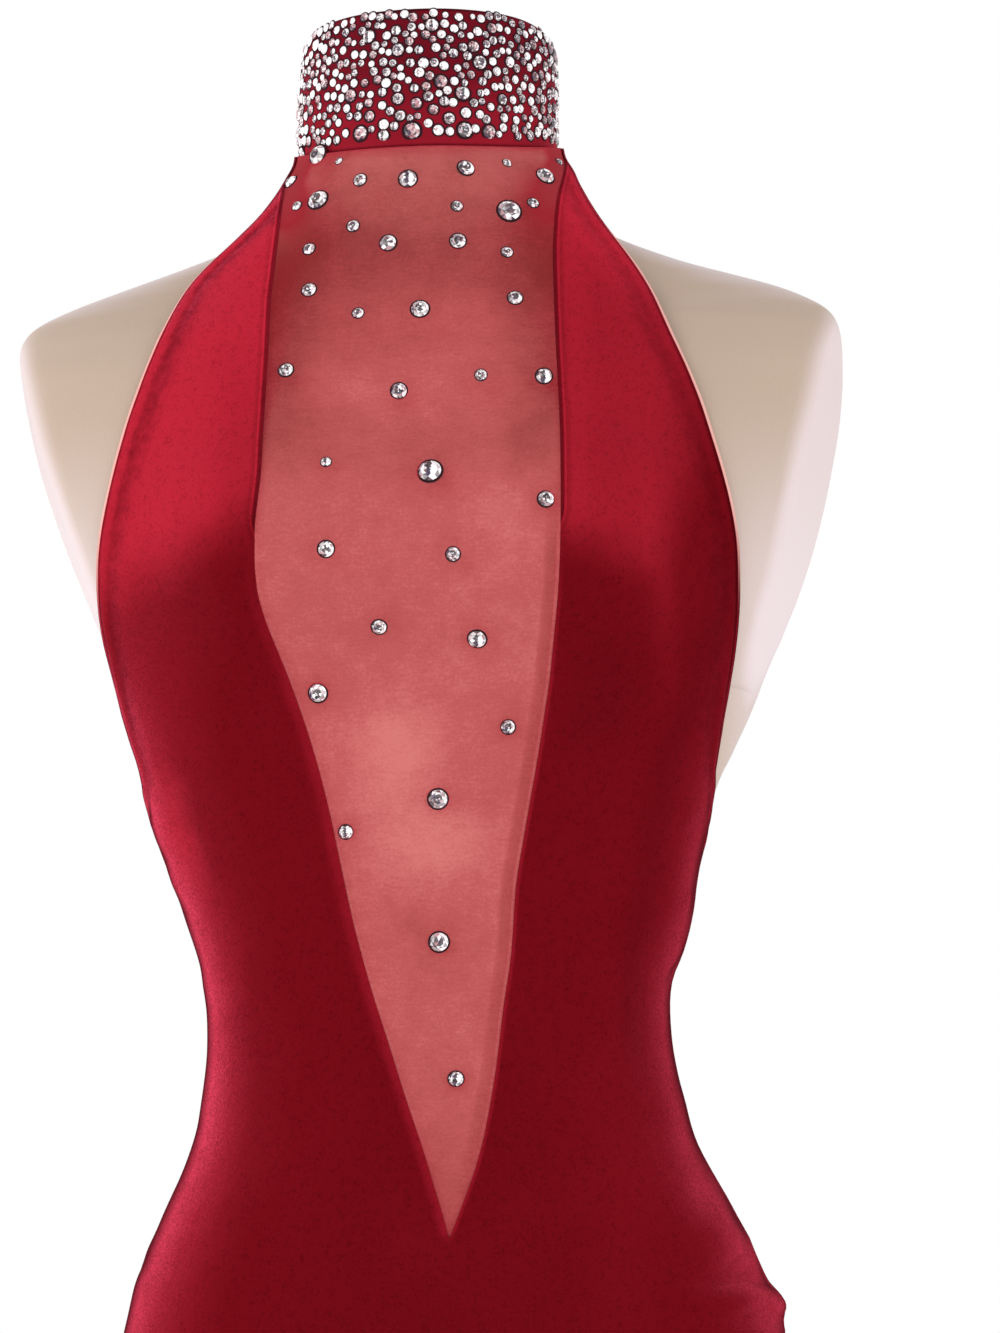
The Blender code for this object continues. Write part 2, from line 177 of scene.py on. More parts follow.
FOLDS = [
    # angle from centre front (deg), width (deg), depth at the hem, top
    (-158, 15, 11, 640),
    (-121, 13, 14, 700),
    (-83, 12, 12, 660),
    (-44, 12, 10, 560),
    (-14, 11, 12, 610),
    (22, 13, 9, 520),
    (57, 12, 13, 650),
    (94, 12, 14, 720),
    (133, 14, 10, 580),
    (-172, 6, -3.5, 600),
    (-140, 5, 3.4, 520),
    (-103, 6, -4.2, 740),
    (-66, 5, 3.6, 640),
    (-29, 5, -3.4, 520),
    (6, 5, 3.0, 470),
    (39, 5, -3.6, 580),
    (74, 6, 3.8, 690),
    (112, 6, -4.4, 740),
    (149, 6, 3.8, 620),
]
WRINKLES = [
    # angle (deg), width (deg), z, height, depth
    (-84, 20, 1116, 42, 5.5),
    (96, 14, 938, 22, 2.0),
    (96, 15, 892, 17, 6.0),
    (-96, 16, 925, 26, 1.5),
]
# How far the sides stand out (+) or in (-) of the plain form, mm.
SIDE_TRIM = {
    -1: [
        (840, 0.0), (866, -0.4), (884, -1.1), (897, -0.2), (908, 0.5), (918, 1.3), (930, 0.5), (948, 0.3),
        (966, 0.8), (986, 1.0), (1005, 0.9), (1024, 1.6), (1040, 2.3), (1052, 1.2), (1070, 0.5), (1090, -0.5),
        (1106, -0.6), (1117, -0.7), (1126, -1.5), (1132, -0.7), (1139, 0.1), (1150, 0.0), (1415, 0.0), (1424, 0.6), (1434, 2.5),
        (1442, 3.4), (1452, 3.2),
    ],
    1: [
        (840, 0.3), (860, 2.0), (873, 3.0), (880, 1.7), (885, 3.4), (891, 1.7), (896, -1.3), (901, -0.7),
        (907, 1.0), (912, 2.2), (918, 3.2), (923, 2.7), (930, 1.5), (938, 0.5), (946, -0.2), (960, -0.5),
        (978, 0.2), (995, -1.2), (1012, -1.9), (1028, -1.7), (1041, -1.0), (1046, 0.0), (1053, 1.6), (1062, 2.0),
        (1074, 1.3), (1086, -0.2), (1100, -1.3), (1114, -1.7), (1126, -2.9), (1138, -2.9), (1156, -1.7), (1180, -0.6), (1205, 0.0),
        (1398, 0.0), (1411, 1.6), (1421, 3.8), (1431, 5.8), (1442, 6.2), (1452, 5.0),
    ],
}
FORM_TRIM = {
    -1: [
        (1150, 0.0), (1195, -1.6), (1206, -2.6), (1226, -2.6), (1245, -2.0), (1265, -1.0), (1284, 0.0), (1303, 1.1),
        (1323, 1.8), (1340, 2.3), (1356, 2.9), (1364, 3.0), (1374, 1.2), (1384, 0.0),
    ],
    1: [
        (1098, 0.0), (1114, -0.8), (1127, -1.5), (1137, -1.3), (1148, 0.0), (1195, 1.4), (1208, 2.3), (1226, 2.0), (1240, 1.4), (1256, 0.4), (1274, -0.3), (1293, -1.0),
        (1312, -0.6), (1335, -0.8), (1352, 0.4), (1364, 0.6), (1378, 0.0),
    ],
}
# Cut edges as the picture shows them: (picture y, picture x), the wearer's right (-1) and left (1).
ARM_LINE = {
    -1: [
        (143, 298), (165, 291.5), (184, 284), (200, 271.5), (220, 256), (240, 233.5), (260, 212), (280, 191),
        (300, 177.5), (330, 161.5), (360, 147.5), (400, 132.5), (440, 119.5), (480, 109), (520, 100.5), (550, 96),
        (580, 95), (610, 96.5), (640, 101.5), (680, 111.5), (720, 121.5), (760, 133.5), (800, 144.5),
    ],
    1: [
        (143, 561.5), (160, 568.5), (180, 578.5), (200, 589.5), (220, 602.5), (240, 619.5), (260, 634.5), (280, 648.5),
        (300, 659), (330, 672), (360, 687), (400, 703), (440, 716), (480, 728), (520, 737), (560, 741.5),
        (600, 741), (640, 738), (680, 732), (720, 725), (760, 717.5), (800, 712),
    ],
}
V_LINE = {
    -1: [
        (184, 284.5), (210, 281), (240, 277.5), (270, 274), (300, 270.5), (350, 268), (400, 265), (440, 262.5),
        (470, 261), (500, 257.5), (530, 254.5), (560, 254.5), (590, 257), (620, 265), (650, 277), (680, 289),
        (740, 310), (800, 326.5), (860, 339.5), (920, 352.5), (980, 368.5), (1040, 387.5), (1100, 406.5),
        (1160, 426.5), (1220, 443.5),
    ],
    1: [
        (165, 566), (180, 561.5), (195, 557.5), (220, 554.5), (250, 553), (300, 554), (340, 555.5), (380, 557.5),
        (410, 559), (440, 560), (500, 560.5), (560, 559.5), (590, 558), (620, 555.5), (650, 552.5), (680, 549.5),
        (710, 545), (740, 540.5), (770, 535.5), (830, 525), (890, 515.5), (950, 511.5), (1010, 503), (1070, 495.5),
        (1130, 485), (1160, 477.5), (1190, 467.5), (1220, 456.5),
    ],
}
BUST = {"height": 1236, "apart": 82, "spread": 48, "depth": 32, "above": 75, "below": 45}
CLOTH_BRIDGE = 0.86
FORM_BRIDGE = 0.60

# Soft creases on the velvet, as short troughs (-) or ridges (+).
CREASES = [
    # z, girth, run (mm), rise over the run (mm), width (mm), depth (mm)
    (1104, -166, 42, -16, 5.0, -0.9),
    (1092, -158, 38, -12, 6.0, 0.7),
    (1076, -150, 34, -10, 5.0, -0.5),
    (1112, 150, 36, 14, 6.0, -0.6),
    (1060, 132, 40, 10, 7.0, -0.5),
    (1046, 152, 30, 12, 3.0, -1.2),
    (1052, 150, 26, 12, 2.6, 0.8),
    (1078, 146, 12, -40, 3.0, 0.6),
    (1036, -118, 46, 6, 7.0, -0.5),
    (1022, 112, 44, -5, 7.0, 0.45),
    (1012, -96, 40, 4, 6.0, 0.4),
    (938, 150, 46, 14, 7.0, -1.0),
    (926, 158, 40, 12, 6.0, 0.8),
    (905, 168, 52, 18, 7.0, -1.6),
    (892, 172, 48, 14, 6.0, 1.2),
    (880, 170, 52, 10, 7.0, -1.3),
    (914, -170, 46, -10, 8.0, -0.7),
    (900, -172, 40, -8, 7.0, 0.6),
    (906, 10, 16, -9, 2.6, -0.45),
    (903, 3, 14, 8, 2.4, 0.35),
    (1330, -118, 34, 16, 6.0, -0.35),
    (1318, 112, 32, -14, 6.0, -0.35),
    (972, 250, 66, 10, 8.0, -1.7),
    (957, 240, 60, 8, 8.0, 1.2),
    (962, -255, 70, -12, 8.0, -1.8),
    (944, -242, 58, -8, 8.0, 1.3),
    (936, 226, 64, 14, 8.0, -1.5),
    (998, 224, 50, -8, 7.0, -1.3),
    (986, -218, 54, -10, 7.0, -1.5),
    (974, -226, 44, -6, 6.0, 0.9),
    (868, 262, 80, 22, 11.0, -1.5),
    (852, -262, 80, -26, 11.0, -1.6),
    (826, 230, 90, 30, 12.0, -1.2),
]


# ---------------------------------------------------------------- surface functions
def between(rows, column, z):
    """Value of one table column at height z, as a smooth curve that never overshoots its rows."""
    keys = np.array([row[0] for row in rows], float)
    values = np.array([row[column] for row in rows], float)
    step = np.diff(keys)
    rise = np.diff(values) / step
    slope = np.zeros(len(keys))
    slope[0], slope[-1] = rise[0], rise[-1]
    product = rise[:-1] * rise[1:]
    same = product > 0
    slope[1:-1][same] = 2 * product[same] / (rise[:-1] + rise[1:])[same]
    z = np.clip(np.asarray(z, float), keys[0], keys[-1])
    i = np.minimum(np.searchsorted(keys, z, side="right") - 1, len(step) - 1)
    t = (z - keys[i]) / step[i]
    return (
        (1 + 2 * t) * (1 - t) ** 2 * values[i]
        + t * (1 - t) ** 2 * step[i] * slope[i]
        + t * t * (3 - 2 * t) * values[i + 1]
        + t * t * (t - 1) * step[i] * slope[i + 1]
    )


def smooth(low, high, value):
    t = np.clip((np.asarray(value, float) - low) / (high - low), 0, 1)
    return t * t * (3 - 2 * t)


DRESS = (
    SKIRT
    + [(z, w + EASE, f + EASE, b + EASE, s) for z, w, f, b, s in TORSO if 800 < z <= 1300]
    + YOKE
)


def bust(x, z, bridge):
    side = np.abs(x)
    inside = np.clip(side / BUST["apart"], 0, 1)
    inner = bridge + (1 - bridge) * (0.5 - 0.5 * np.cos(math.pi * inside))
    outer = np.exp(-(((side - BUST["apart"]) / BUST["spread"]) ** 2))
    reach = BUST["above"] if z > BUST["height"] else BUST["below"]
    upright = math.exp(-(((z - BUST["height"]) / reach) ** 2))
    return BUST["depth"] * upright * np.where(side < BUST["apart"], inner, outer)


def half_section(rows, z, bridge=None, samples=361):
    """Half of a horizontal section, from centre front to centre back on the +X side."""
    angle = np.linspace(0, math.pi, samples)
    width, front, back, square = (float(between(rows, column, z)) for column in (1, 2, 3, 4))
    across = np.abs(np.sin(angle)) ** (2 / square)
    along = np.abs(np.cos(angle)) ** (2 / square)
    x = width * across
    deep = front + (bust(x, z, bridge) if bridge is not None else 0)
    y = np.where(angle < math.pi / 2, -deep * along, back * along)
    return angle, x, y


def drape(z, angle, side):
    degrees = np.degrees(angle) * side
    out = np.zeros_like(degrees)
    for at, width, depth, top in FOLDS:
        if z < top:
            grow = (top - z) / (top - HEM)
            away = (degrees - at + 180) % 360 - 180
            out += depth * grow**1.5 * np.exp(-((away / width) ** 2))
    for at, width, level, height, depth in WRINKLES:
        away = (degrees - at + 180) % 360 - 180
        out += depth * np.exp(-((away / width) ** 2) - ((z - level) / height) ** 2)
    return out


STEP = 2.0
LEVELS = np.arange(48.0, 1452.0, STEP)
HALVES = {-1: [], 1: []}
for level in LEVELS:
    turn, half_x, half_y = half_section(DRESS, level, CLOTH_BRIDGE)
    far = np.hypot(half_x, half_y)
    for side in (-1, 1):
        out = drape(level, turn, side)
        reach = np.clip(half_x / half_x.max(), 0, 1)
        stand = float(between(SIDE_TRIM[side], 1, level)) * smooth(0.55, 0.93, reach)
        x, y = side * (half_x * (1 + out / far) + stand), half_y * (1 + out / far)
        HALVES[side].append(
            (x, y, np.concatenate([[0], np.cumsum(np.hypot(np.diff(x), np.diff(y)))]))
        )
SIDE_GIRTHS = {s: np.array([h[2][len(h[2]) // 2] for h in HALVES[s]]) for s in (-1, 1)}
WHOLE_GIRTHS = {s: np.array([h[2][-1] for h in HALVES[s]]) for s in (-1, 1)}


def side_girth(z, side):
    return np.interp(z, LEVELS, SIDE_GIRTHS[side])


def whole_girth(z, side):
    return np.interp(z, LEVELS, WHOLE_GIRTHS[side])


def on_cloth(z, girth):
    """Points on the cloth's outer face at heights z and signed girths from centre front."""
    z, girth = np.broadcast_arrays(np.asarray(z, float), np.asarray(girth, float))
    shape = z.shape
    z, girth = z.ravel(), girth.ravel()
    low = np.clip(((z - LEVELS[0]) / STEP).astype(int), 0, len(LEVELS) - 2)
    part = (z - LEVELS[low]) / STEP
    points = np.zeros((len(z), 3))
    points[:, 2] = z
    for side in (-1, 1):
        mine = np.nonzero(girth >= 0 if side > 0 else girth < 0)[0]
        mine = mine[np.argsort(low[mine], kind="stable")]
        cuts = np.nonzero(np.diff(low[mine]))[0] + 1
        for group in np.split(mine, cuts):
            if not len(group):
                continue
            k, want = low[group[0]], np.abs(girth[group])
            t = part[group]
            x0, y0, g0 = HALVES[side][k]
            x1, y1, g1 = HALVES[side][k + 1]
            points[group, 0] = (1 - t) * np.interp(want, g0, x0) + t * np.interp(want, g1, x1)
            points[group, 1] = (1 - t) * np.interp(want, g0, y0) + t * np.interp(want, g1, y1)
    return points.reshape(*shape, 3)


def cloth_normal(z, girth):
    limit = np.where(girth >= 0, whole_girth(z, 1), whole_girth(z, -1)) - 0.01
    after, before = np.minimum(girth + 1.2, limit), np.maximum(girth - 1.2, -limit)
    along = on_cloth(z, after) - on_cloth(z, before)
    upward = on_cloth(z + 2, girth) - on_cloth(z - 2, girth)
    out = np.cross(along, upward)
    return out / np.linalg.norm(out, axis=-1, keepdims=True)


EDGE_LEVELS = np.arange(915.0, 1446.0, 3.0)
ARM_GIRTH, V_GIRTH = {}, {}  # filled once the camera stands
BINDING = 2.4  # width left of the wings above their tips


def v_edge(z, side):
    plain = side * between(V_EDGE, 1 if side < 0 else 2, z)
    value = plain + smooth(925, 952, z) * (np.interp(z, EDGE_LEVELS, V_GIRTH[side]) - plain)
    return side * np.minimum(side * value, np.abs(outer_edge(z, side)) - BINDING)


def outer_edge(z, side):
    seam = side_girth(z, side)
    plain = between(ARMHOLE, 1, z)
    arm = plain + smooth(1130, 1160, z) * (np.interp(z, EDGE_LEVELS, ARM_GIRTH[side]) - plain)
    arm = seam + (arm - seam) * np.clip((z - SIDE_TOP) / 20.0, 0, 1) ** 0.8
    return side * np.where(z < SIDE_TOP, seam, np.minimum(arm, seam))


def collar_low(angle):
    turn = 1.0 - np.cos(angle)
    return 1434.5 + 9.5 * np.minimum(turn, 1.0) ** 1.3 + 2.5 * np.maximum(turn - 1.0, 0.0)


def collar_high(angle):
    turn = 0.5 - 0.5 * np.cos(angle)
    return 1502.2 - 5.0 * np.minimum(1.0, 1.6 * turn) ** 2


def bump(value, at, width):
    return np.exp(-(((value - at) / width) ** 2))


def wander(*coordinates, seed=0, size=40.0, octaves=3):
    """Smooth uneven variation, about -1 to 1, from sums of slanted waves."""
    state = np.random.RandomState(seed)
    total = np.zeros(np.broadcast(*coordinates).shape)
    for octave in range(octaves):
        for _ in range(3):
            vector = state.normal(size=len(coordinates))
            vector *= 2 * math.pi / (size / 2**octave) / np.linalg.norm(vector)
            phase = state.uniform(0, 2 * math.pi)
            total += np.sin(sum(v * c for v, c in zip(vector, coordinates)) + phase) / 2**octave
    return total / 4.5


def creases(z, girth):
    """Height of the hand-laid creases at points of the cloth."""
    total = np.zeros(np.broadcast(z, girth).shape)
    for at_z, at_girth, run, rise, width, depth in CREASES:
        slope = rise / run
        along = ((girth - at_girth) + slope * (z - at_z)) / math.hypot(1, slope)
        away = ((z - at_z) - slope * (girth - at_girth)) / math.hypot(1, slope)
        away = away + 0.04 * along**2 / run
        total = total + depth * np.exp(-((away / width) ** 2) - (2.0 * along / run) ** 2)
    return total


# ---------------------------------------------------------------- mesh helpers
def to_mesh(name, points, faces, smooth_shading=True, sharp=None):
    mesh = bpy.data.meshes.new(name)
    mesh.from_pydata((0.001 * np.asarray(points, float)).tolist(), [], [tuple(f) for f in faces])
    mesh.update()
    if smooth_shading:
        mesh.shade_smooth()
        if sharp:
            mesh.set_sharp_from_angle(angle=math.radians(sharp))
    made = bpy.data.objects.new(name, mesh)
    bpy.context.scene.collection.objects.link(made)
    return made


def add_value(obj, name, values):
    attribute = obj.data.attributes.new(name, "FLOAT", "POINT")
    attribute.data.foreach_set("value", np.asarray(values, np.float32).ravel())


def grid_faces(rows, columns, wrap=False):
    index = np.arange(rows * columns).reshape(rows, columns)
    if wrap:
        index = np.concatenate([index, index[:, :1]], axis=1)
    quads = np.stack(
        [index[:-1, :-1], index[:-1, 1:], index[1:, 1:], index[1:, :-1]], axis=-1
    )
    return quads.reshape(-1, 4)


def close_shell(outer, inner, quads):
    """Joins an outer and an inner face into one closed wall."""
    count = len(outer)
    pairs = np.concatenate([quads[:, [k, (k + 1) % 4]] for k in range(4)])
    key = np.sort(pairs, axis=1)
    _, first, uses = np.unique(key, axis=0, return_index=True, return_counts=True)
    rim = pairs[first[uses == 1]]
    back = quads[:, ::-1] + count
    band = np.stack([rim[:, 1], rim[:, 0], rim[:, 0] + count, rim[:, 1] + count], axis=1)
    return np.concatenate([outer, inner]), np.concatenate([quads, back, band])


def spread(*stops):
    levels = [float(stops[0])]
    for end, steps in stops[1:]:
        levels += list(np.linspace(levels[-1], end, steps + 1)[1:])
    return np.array(levels)


EDGE_STEPS = np.array([0, 0.45, 0.95, 1.5, 2.1, 2.8, 3.6, 4.6, 6.0, 8.0])


def across(inner, outer, middle):
    """Columns from one edge to the other, close together near both, as (rows, columns)."""
    width = np.abs(outer - inner)
    fit = np.minimum(1.0, 0.42 * width / EDGE_STEPS[-1])[:, None]
    near = EDGE_STEPS[None, :] * fit
    left = near
    right = width[:, None] - near[:, ::-1]
    between_them = left[:, -1:] + (right[:, :1] - left[:, -1:]) * np.linspace(0, 1, middle + 1)[None, 1:-1]
    along = np.concatenate([left, between_them, right], axis=1)
    sign = np.sign(outer - inner)[:, None]
    return inner[:, None] + sign * along, along, width[:, None] - along


# ---------------------------------------------------------------- material helpers
class Nodes:
    """A short way to write a material's nodes."""

    def __init__(self, name):
        self.material = bpy.data.materials.new(name)
        self.material.use_nodes = True
        self.tree = self.material.node_tree
        self.shader = self.tree.nodes["Principled BSDF"]
        self.output = self.tree.nodes["Material Output"]

    def new(self, kind, **settings):
        node = self.tree.nodes.new(kind)
        for key, value in settings.items():
            if hasattr(node, key):
                setattr(node, key, value)
            else:
                node.inputs[key].default_value = value
        return node

    def link(self, start, end):
        self.tree.links.new(start, end)

    def feed(self, socket, value):
        if hasattr(value, "is_linked") or hasattr(value, "links"):
            self.link(value, socket)
        elif isinstance(value, (tuple, list)) and len(value) == 3 and socket.type == "RGBA":
            socket.default_value = (*value, 1.0)
        else:
            socket.default_value = value

    def math(self, operation, *values, clamp=False):
        node = self.new("ShaderNodeMath", operation=operation, use_clamp=clamp)
        for socket, value in zip(node.inputs, values):
            self.feed(socket, value)
        return node.outputs[0]

    def mix(self, factor, first, second, blend="MIX"):
        node = self.new("ShaderNodeMix", data_type="RGBA", blend_type=blend)
        self.feed(node.inputs["Factor"], factor)
        self.feed(node.inputs[6], first)
        self.feed(node.inputs[7], second)
        return node.outputs[2]

    def ramp(self, factor, stops, interpolation="LINEAR"):
        """stops are (position, value or colour)."""
        node = self.new("ShaderNodeValToRGB")
        node.color_ramp.interpolation = interpolation
        while len(node.color_ramp.elements) < len(stops):
            node.color_ramp.elements.new(0.5)
        for element, (position, value) in zip(node.color_ramp.elements, stops):
            element.position = position
            colour = value if isinstance(value, tuple) else (value, value, value)
            element.color = (*colour, 1.0)
        self.feed(node.inputs["Fac"], factor)
        return node.outputs["Color"]

    def value(self, name):
        return self.new("ShaderNodeAttribute", attribute_name=name).outputs["Fac"]

    def place(self, scale=(1, 1, 1)):
        """Object coordinates in millimetres times scale."""
        coordinates = self.new("ShaderNodeTexCoord").outputs["Object"]
        node = self.new("ShaderNodeMapping")
        node.inputs["Scale"].default_value = tuple(1000.0 * s for s in scale)
        self.link(coordinates, node.inputs["Vector"])
        return node.outputs["Vector"]

    def noise(self, vector, scale, detail=2.0, roughness=0.5, distortion=0.0):
        node = self.new("ShaderNodeTexNoise")
        self.link(vector, node.inputs["Vector"])
        node.inputs["Scale"].default_value = scale
        node.inputs["Detail"].default_value = detail
        node.inputs["Roughness"].default_value = roughness
        node.inputs["Distortion"].default_value = distortion
        return node.outputs["Fac"]

    def bump(self, height, strength, distance_mm, normal=None):
        node = self.new("ShaderNodeBump")
        node.inputs["Strength"].default_value = strength
        node.inputs["Distance"].default_value = 0.001 * distance_mm
        self.link(height, node.inputs["Height"])
        if normal is not None:
            self.link(normal, node.inputs["Normal"])
        return node.outputs["Normal"]

    def set(self, **values):
        for key, value in values.items():
            self.feed(self.shader.inputs[key.replace("_", " ")], value)


def velvet_material(name):
    """Crimson stretch velvet: a dark ground with painted light where the pile lies or turns to the light, painted
    sheen at its turned-away edges and painted shade in its grooves.
    """
    n = Nodes(name)
    where = n.place()
    pile = n.ramp(n.noise(where, 0.80, 2.0, 0.5), [(0.36, 0.36), (0.64, 0.64)])
    mottle = n.noise(where, 0.26, 2.0, 0.55)
    cloud = n.noise(where, 0.014, 2.0, 0.5)
    turned = n.new("ShaderNodeLayerWeight", Blend=0.5).outputs["Facing"]
    # painted sheen: a brighter red where the cloth turns away, stronger on one side
    rim = n.ramp(turned, [(0.16, 0.0), (0.30, 0.05), (0.44, 0.19), (0.62, 0.66), (0.78, 0.92), (0.86, 0.78), (0.93, 0.20)])
    rim = n.math("MULTIPLY", rim, n.value("edge_sheen_strength"), clamp=True)
    # painted light: the ground turns a brighter red where the painted pile light is strong
    painted_pile_light = n.math("ADD", n.value("painted_pile_light"), n.math("MULTIPLY", n.math("SUBTRACT", cloud, 0.5), 0.10), clamp=True)
    ground = n.mix(painted_pile_light, (0.160, 0.0034, 0.0074), (0.485, 0.0165, 0.0355))
    patches = n.ramp(n.noise(where, 0.035, 2.0, 0.5), [(0.34, 0.80), (0.66, 1.10)])
    rim = n.math("MULTIPLY", rim, patches, clamp=True)
    hairs = n.ramp(n.noise(where, 1.0, 2.0, 0.6), [(0.36, 0.66), (0.52, 1.0), (0.68, 1.42)])
    lit_pile = n.mix(1.0, (0.530, 0.0380, 0.0740), hairs, "MULTIPLY")
    # painted shade: the ground darkens in those upright bands
    ground = n.mix(n.value("shade"), ground, (0.030, 0.0008, 0.0020))
    colour = n.mix(rim, ground, lit_pile)
    colour = n.mix(n.value("glow"), colour, (0.285, 0.0080, 0.0185))
    grain = n.math("ADD", n.math("MULTIPLY", pile, 1.05), n.math("MULTIPLY", mottle, 0.55))
    tone = n.math("ADD", grain, 0.20)
    colour = n.mix(1.0, colour, n.mix(tone, (0, 0, 0), (1, 1, 1)), "MULTIPLY")
    # painted shade: a thin dark line where the cloth turns quite away, strongest on the wearer's left
    side_line = n.ramp(turned, [(0.69, 1.0), (0.79, 0.60), (0.87, 0.26), (1.0, 0.12)])
    share = n.math("MULTIPLY", n.math("SUBTRACT", 2.10, n.value("edge_sheen_strength")), 1.25, clamp=True)
    colour = n.mix(share, colour, n.mix(1.0, colour, side_line, "MULTIPLY"))
    # turned edges of the armholes and the back, in painted light and shade: a pale fold of painted sheen, a dark
    # painted line, a painted highlight on the ridge, a soft uneven groove of painted shade
    wavy = n.math("MULTIPLY", n.math("SUBTRACT", n.noise(where, 0.16, 2.0, 0.6), 0.5), 3.2)
    hem = n.value("hem")
    moved = n.math("ADD", hem, n.math("MULTIPLY", wavy, n.math("MULTIPLY", hem, 0.12, clamp=True)))
    depth = n.math("DIVIDE", moved, 28.0)
    strong = n.ramp(
        depth,
        [
            (0.0, 1.0), (0.062, 1.0), (0.072, 0.40), (0.092, 0.50), (0.118, 1.0), (0.235, 1.04),
            (0.285, 0.78), (0.350, 0.68), (0.480, 0.74), (0.600, 0.89), (0.760, 1.0),
        ],
    )
    soft = n.ramp(
        depth,
        [
            (0.0, 1.0), (0.062, 1.0), (0.074, 0.40), (0.110, 0.50), (0.140, 0.88), (0.210, 0.94),
            (0.300, 0.82), (0.430, 0.84), (0.620, 1.0),
        ],
    )
    colour = n.mix(1.0, colour, n.mix(n.value("ridge"), soft, strong), "MULTIPLY")
    # uneven painted shade in the groove beside the turned edge
    blotch = n.ramp(n.noise(where, 0.15, 2.0, 0.6), [(0.36, 0.78), (0.62, 1.08)])
    there = n.ramp(depth, [(0.22, 0.0), (0.30, 1.0), (0.52, 1.0), (0.70, 0.0)])
    there = n.math("MULTIPLY", there, n.math("ADD", 0.45, n.math("MULTIPLY", n.value("ridge"), 0.55)))
    colour = n.mix(there, colour, n.mix(1.0, colour, blotch, "MULTIPLY"))
    # painted shade in a dark line at the very edge, under a pale fold of painted sheen
    fold_sheen = n.ramp(n.math("DIVIDE", hem, 18.0), [(0.0, 1.0), (0.076, 1.0), (0.100, 0.0)])
    bare = n.ramp(n.math("DIVIDE", hem, 18.0), [(0.0, 0.30), (0.040, 0.40), (0.075, 1.0)])
    colour = n.mix(n.value("pale"), n.mix(1.0, colour, bare, "MULTIPLY"), colour)
    colour = n.mix(n.math("MULTIPLY", fold_sheen, n.value("pale")), colour, (0.82, 0.42, 0.37))
    # seams: painted shade in the dark groove and the second groove, a painted highlight on the thin ridge
    seam = n.ramp(
        n.math("DIVIDE", n.value("seam"), 12.0),
        [
            (0.0, 0.42), (0.125, 0.44), (0.155, 0.90), (0.175, 1.12), (0.225, 1.10), (0.250, 0.80),
            (0.360, 0.86), (0.450, 1.0),
        ],
    )
    colour = n.mix(1.0, colour, seam, "MULTIPLY")
    n.set(Base_Color=colour)
    n.shader.inputs["Roughness"].default_value = 0.85
    n.shader.inputs["Specular IOR Level"].default_value = 0.0
    n.shader.inputs["Sheen Weight"].default_value = 0.12
    n.shader.inputs["Sheen Roughness"].default_value = 0.30
    n.shader.inputs["Sheen Tint"].default_value = (1.0, 0.16, 0.24, 1.0)
    rough = n.bump(pile, 0.16, 0.25)
    rough = n.bump(mottle, 0.25, 0.5, rough)
    n.set(Normal=rough)
    return n.material


def mesh_material(name):
    """Sheer red stretch mesh with a fine knit grain. Its tone is painted light and shade, following how close it lies
    to the form.
    """
    n = Nodes(name)
    fine = n.place()
    lines = n.noise(n.place((0.22, 0.22, 0.90)), 1.0, 3.0, 0.6)
    grain = n.noise(fine, 0.80, 3.0, 0.65)
    mottle = n.noise(fine, 0.10, 2.0, 0.5)
    tone = n.math("ADD", n.value("tone"), n.math("MULTIPLY", n.math("SUBTRACT", mottle, 0.5), 0.30))
    tone = n.math("ADD", tone, n.math("MULTIPLY", n.math("SUBTRACT", lines, 0.5), 0.34))
    tone = n.math("ADD", tone, n.math("MULTIPLY", n.math("SUBTRACT", grain, 0.5), 0.50), clamp=True)
    colour = n.ramp(
        tone,
        [
            (0.0, (0.94, 0.180, 0.186)), (0.35, (0.690, 0.066, 0.090)), (0.55, (0.560, 0.044, 0.0600)),
            (0.85, (0.385, 0.0130, 0.028)), (1.0, (0.30, 0.006, 0.014)),
        ],
    )
    density = n.ramp(tone, [(0.0, 0.55), (0.35, 0.60), (0.55, 0.64), (0.85, 0.68), (1.0, 0.71)])
    # painted shade: denser where the mesh turns away at the sides of the neck
    density = n.math("ADD", density, n.value("neck_shade_density"), clamp=True)
    # painted shade: near its top corners the mesh is made denser and darker, with nothing pale behind it
    density = n.math("ADD", density, n.math("MULTIPLY", n.value("corner_shade"), 0.42), clamp=True)
    colour = n.mix(n.math("MULTIPLY", n.value("corner_shade"), 0.85), colour, (0.335, 0.032, 0.042))
    n.set(Base_Color=colour, Alpha=density)
    n.shader.inputs["Roughness"].default_value = 0.8
    n.shader.inputs["Specular IOR Level"].default_value = 0.05
    n.set(Normal=n.bump(lines, 0.25, 0.2))
    return n.material


def collar_material(name):
    n = Nodes(name)
    where = n.place()
    pile = n.noise(where, 0.8, 3.0, 0.6)
    cloud = n.noise(where, 0.03, 2.0, 0.5)
    turned = n.new("ShaderNodeLayerWeight", Blend=0.5).outputs["Facing"]
    colour = n.mix(cloud, (0.250, 0.0085, 0.0185), (0.325, 0.0110, 0.0250))
    # painted shade: near black between the crowded stones
    colour = n.mix(n.math("MULTIPLY", n.value("shade_among_stones"), 0.76), colour, (0.060, 0.0030, 0.0085))
    # painted sheen: brighter red where the collar turns away
    colour = n.mix(n.ramp(turned, [(0.50, 0.0), (0.95, 0.5)]), colour, (0.50, 0.040, 0.070))
    colour = n.mix(n.math("MULTIPLY", pile, 0.35), colour, (0.12, 0.003, 0.006))
    # painted shade: dark lines along the collar's top and bottom edges
    edge = n.ramp(
        n.math("DIVIDE", n.value("hem"), 8.0), [(0.0, 0.30), (0.14, 0.45), (0.24, 1.05), (0.45, 1.0)]
    )
    colour = n.mix(1.0, colour, edge, "MULTIPLY")
    n.set(Base_Color=colour)
    n.shader.inputs["Roughness"].default_value = 0.8
    n.shader.inputs["Specular IOR Level"].default_value = 0.02
    n.shader.inputs["Sheen Weight"].default_value = 0.08
    n.shader.inputs["Sheen Roughness"].default_value = 0.4
    n.shader.inputs["Sheen Tint"].default_value = (1.0, 0.2, 0.3, 1.0)
    n.set(Normal=n.bump(pile, 0.35, 0.3))
    return n.material


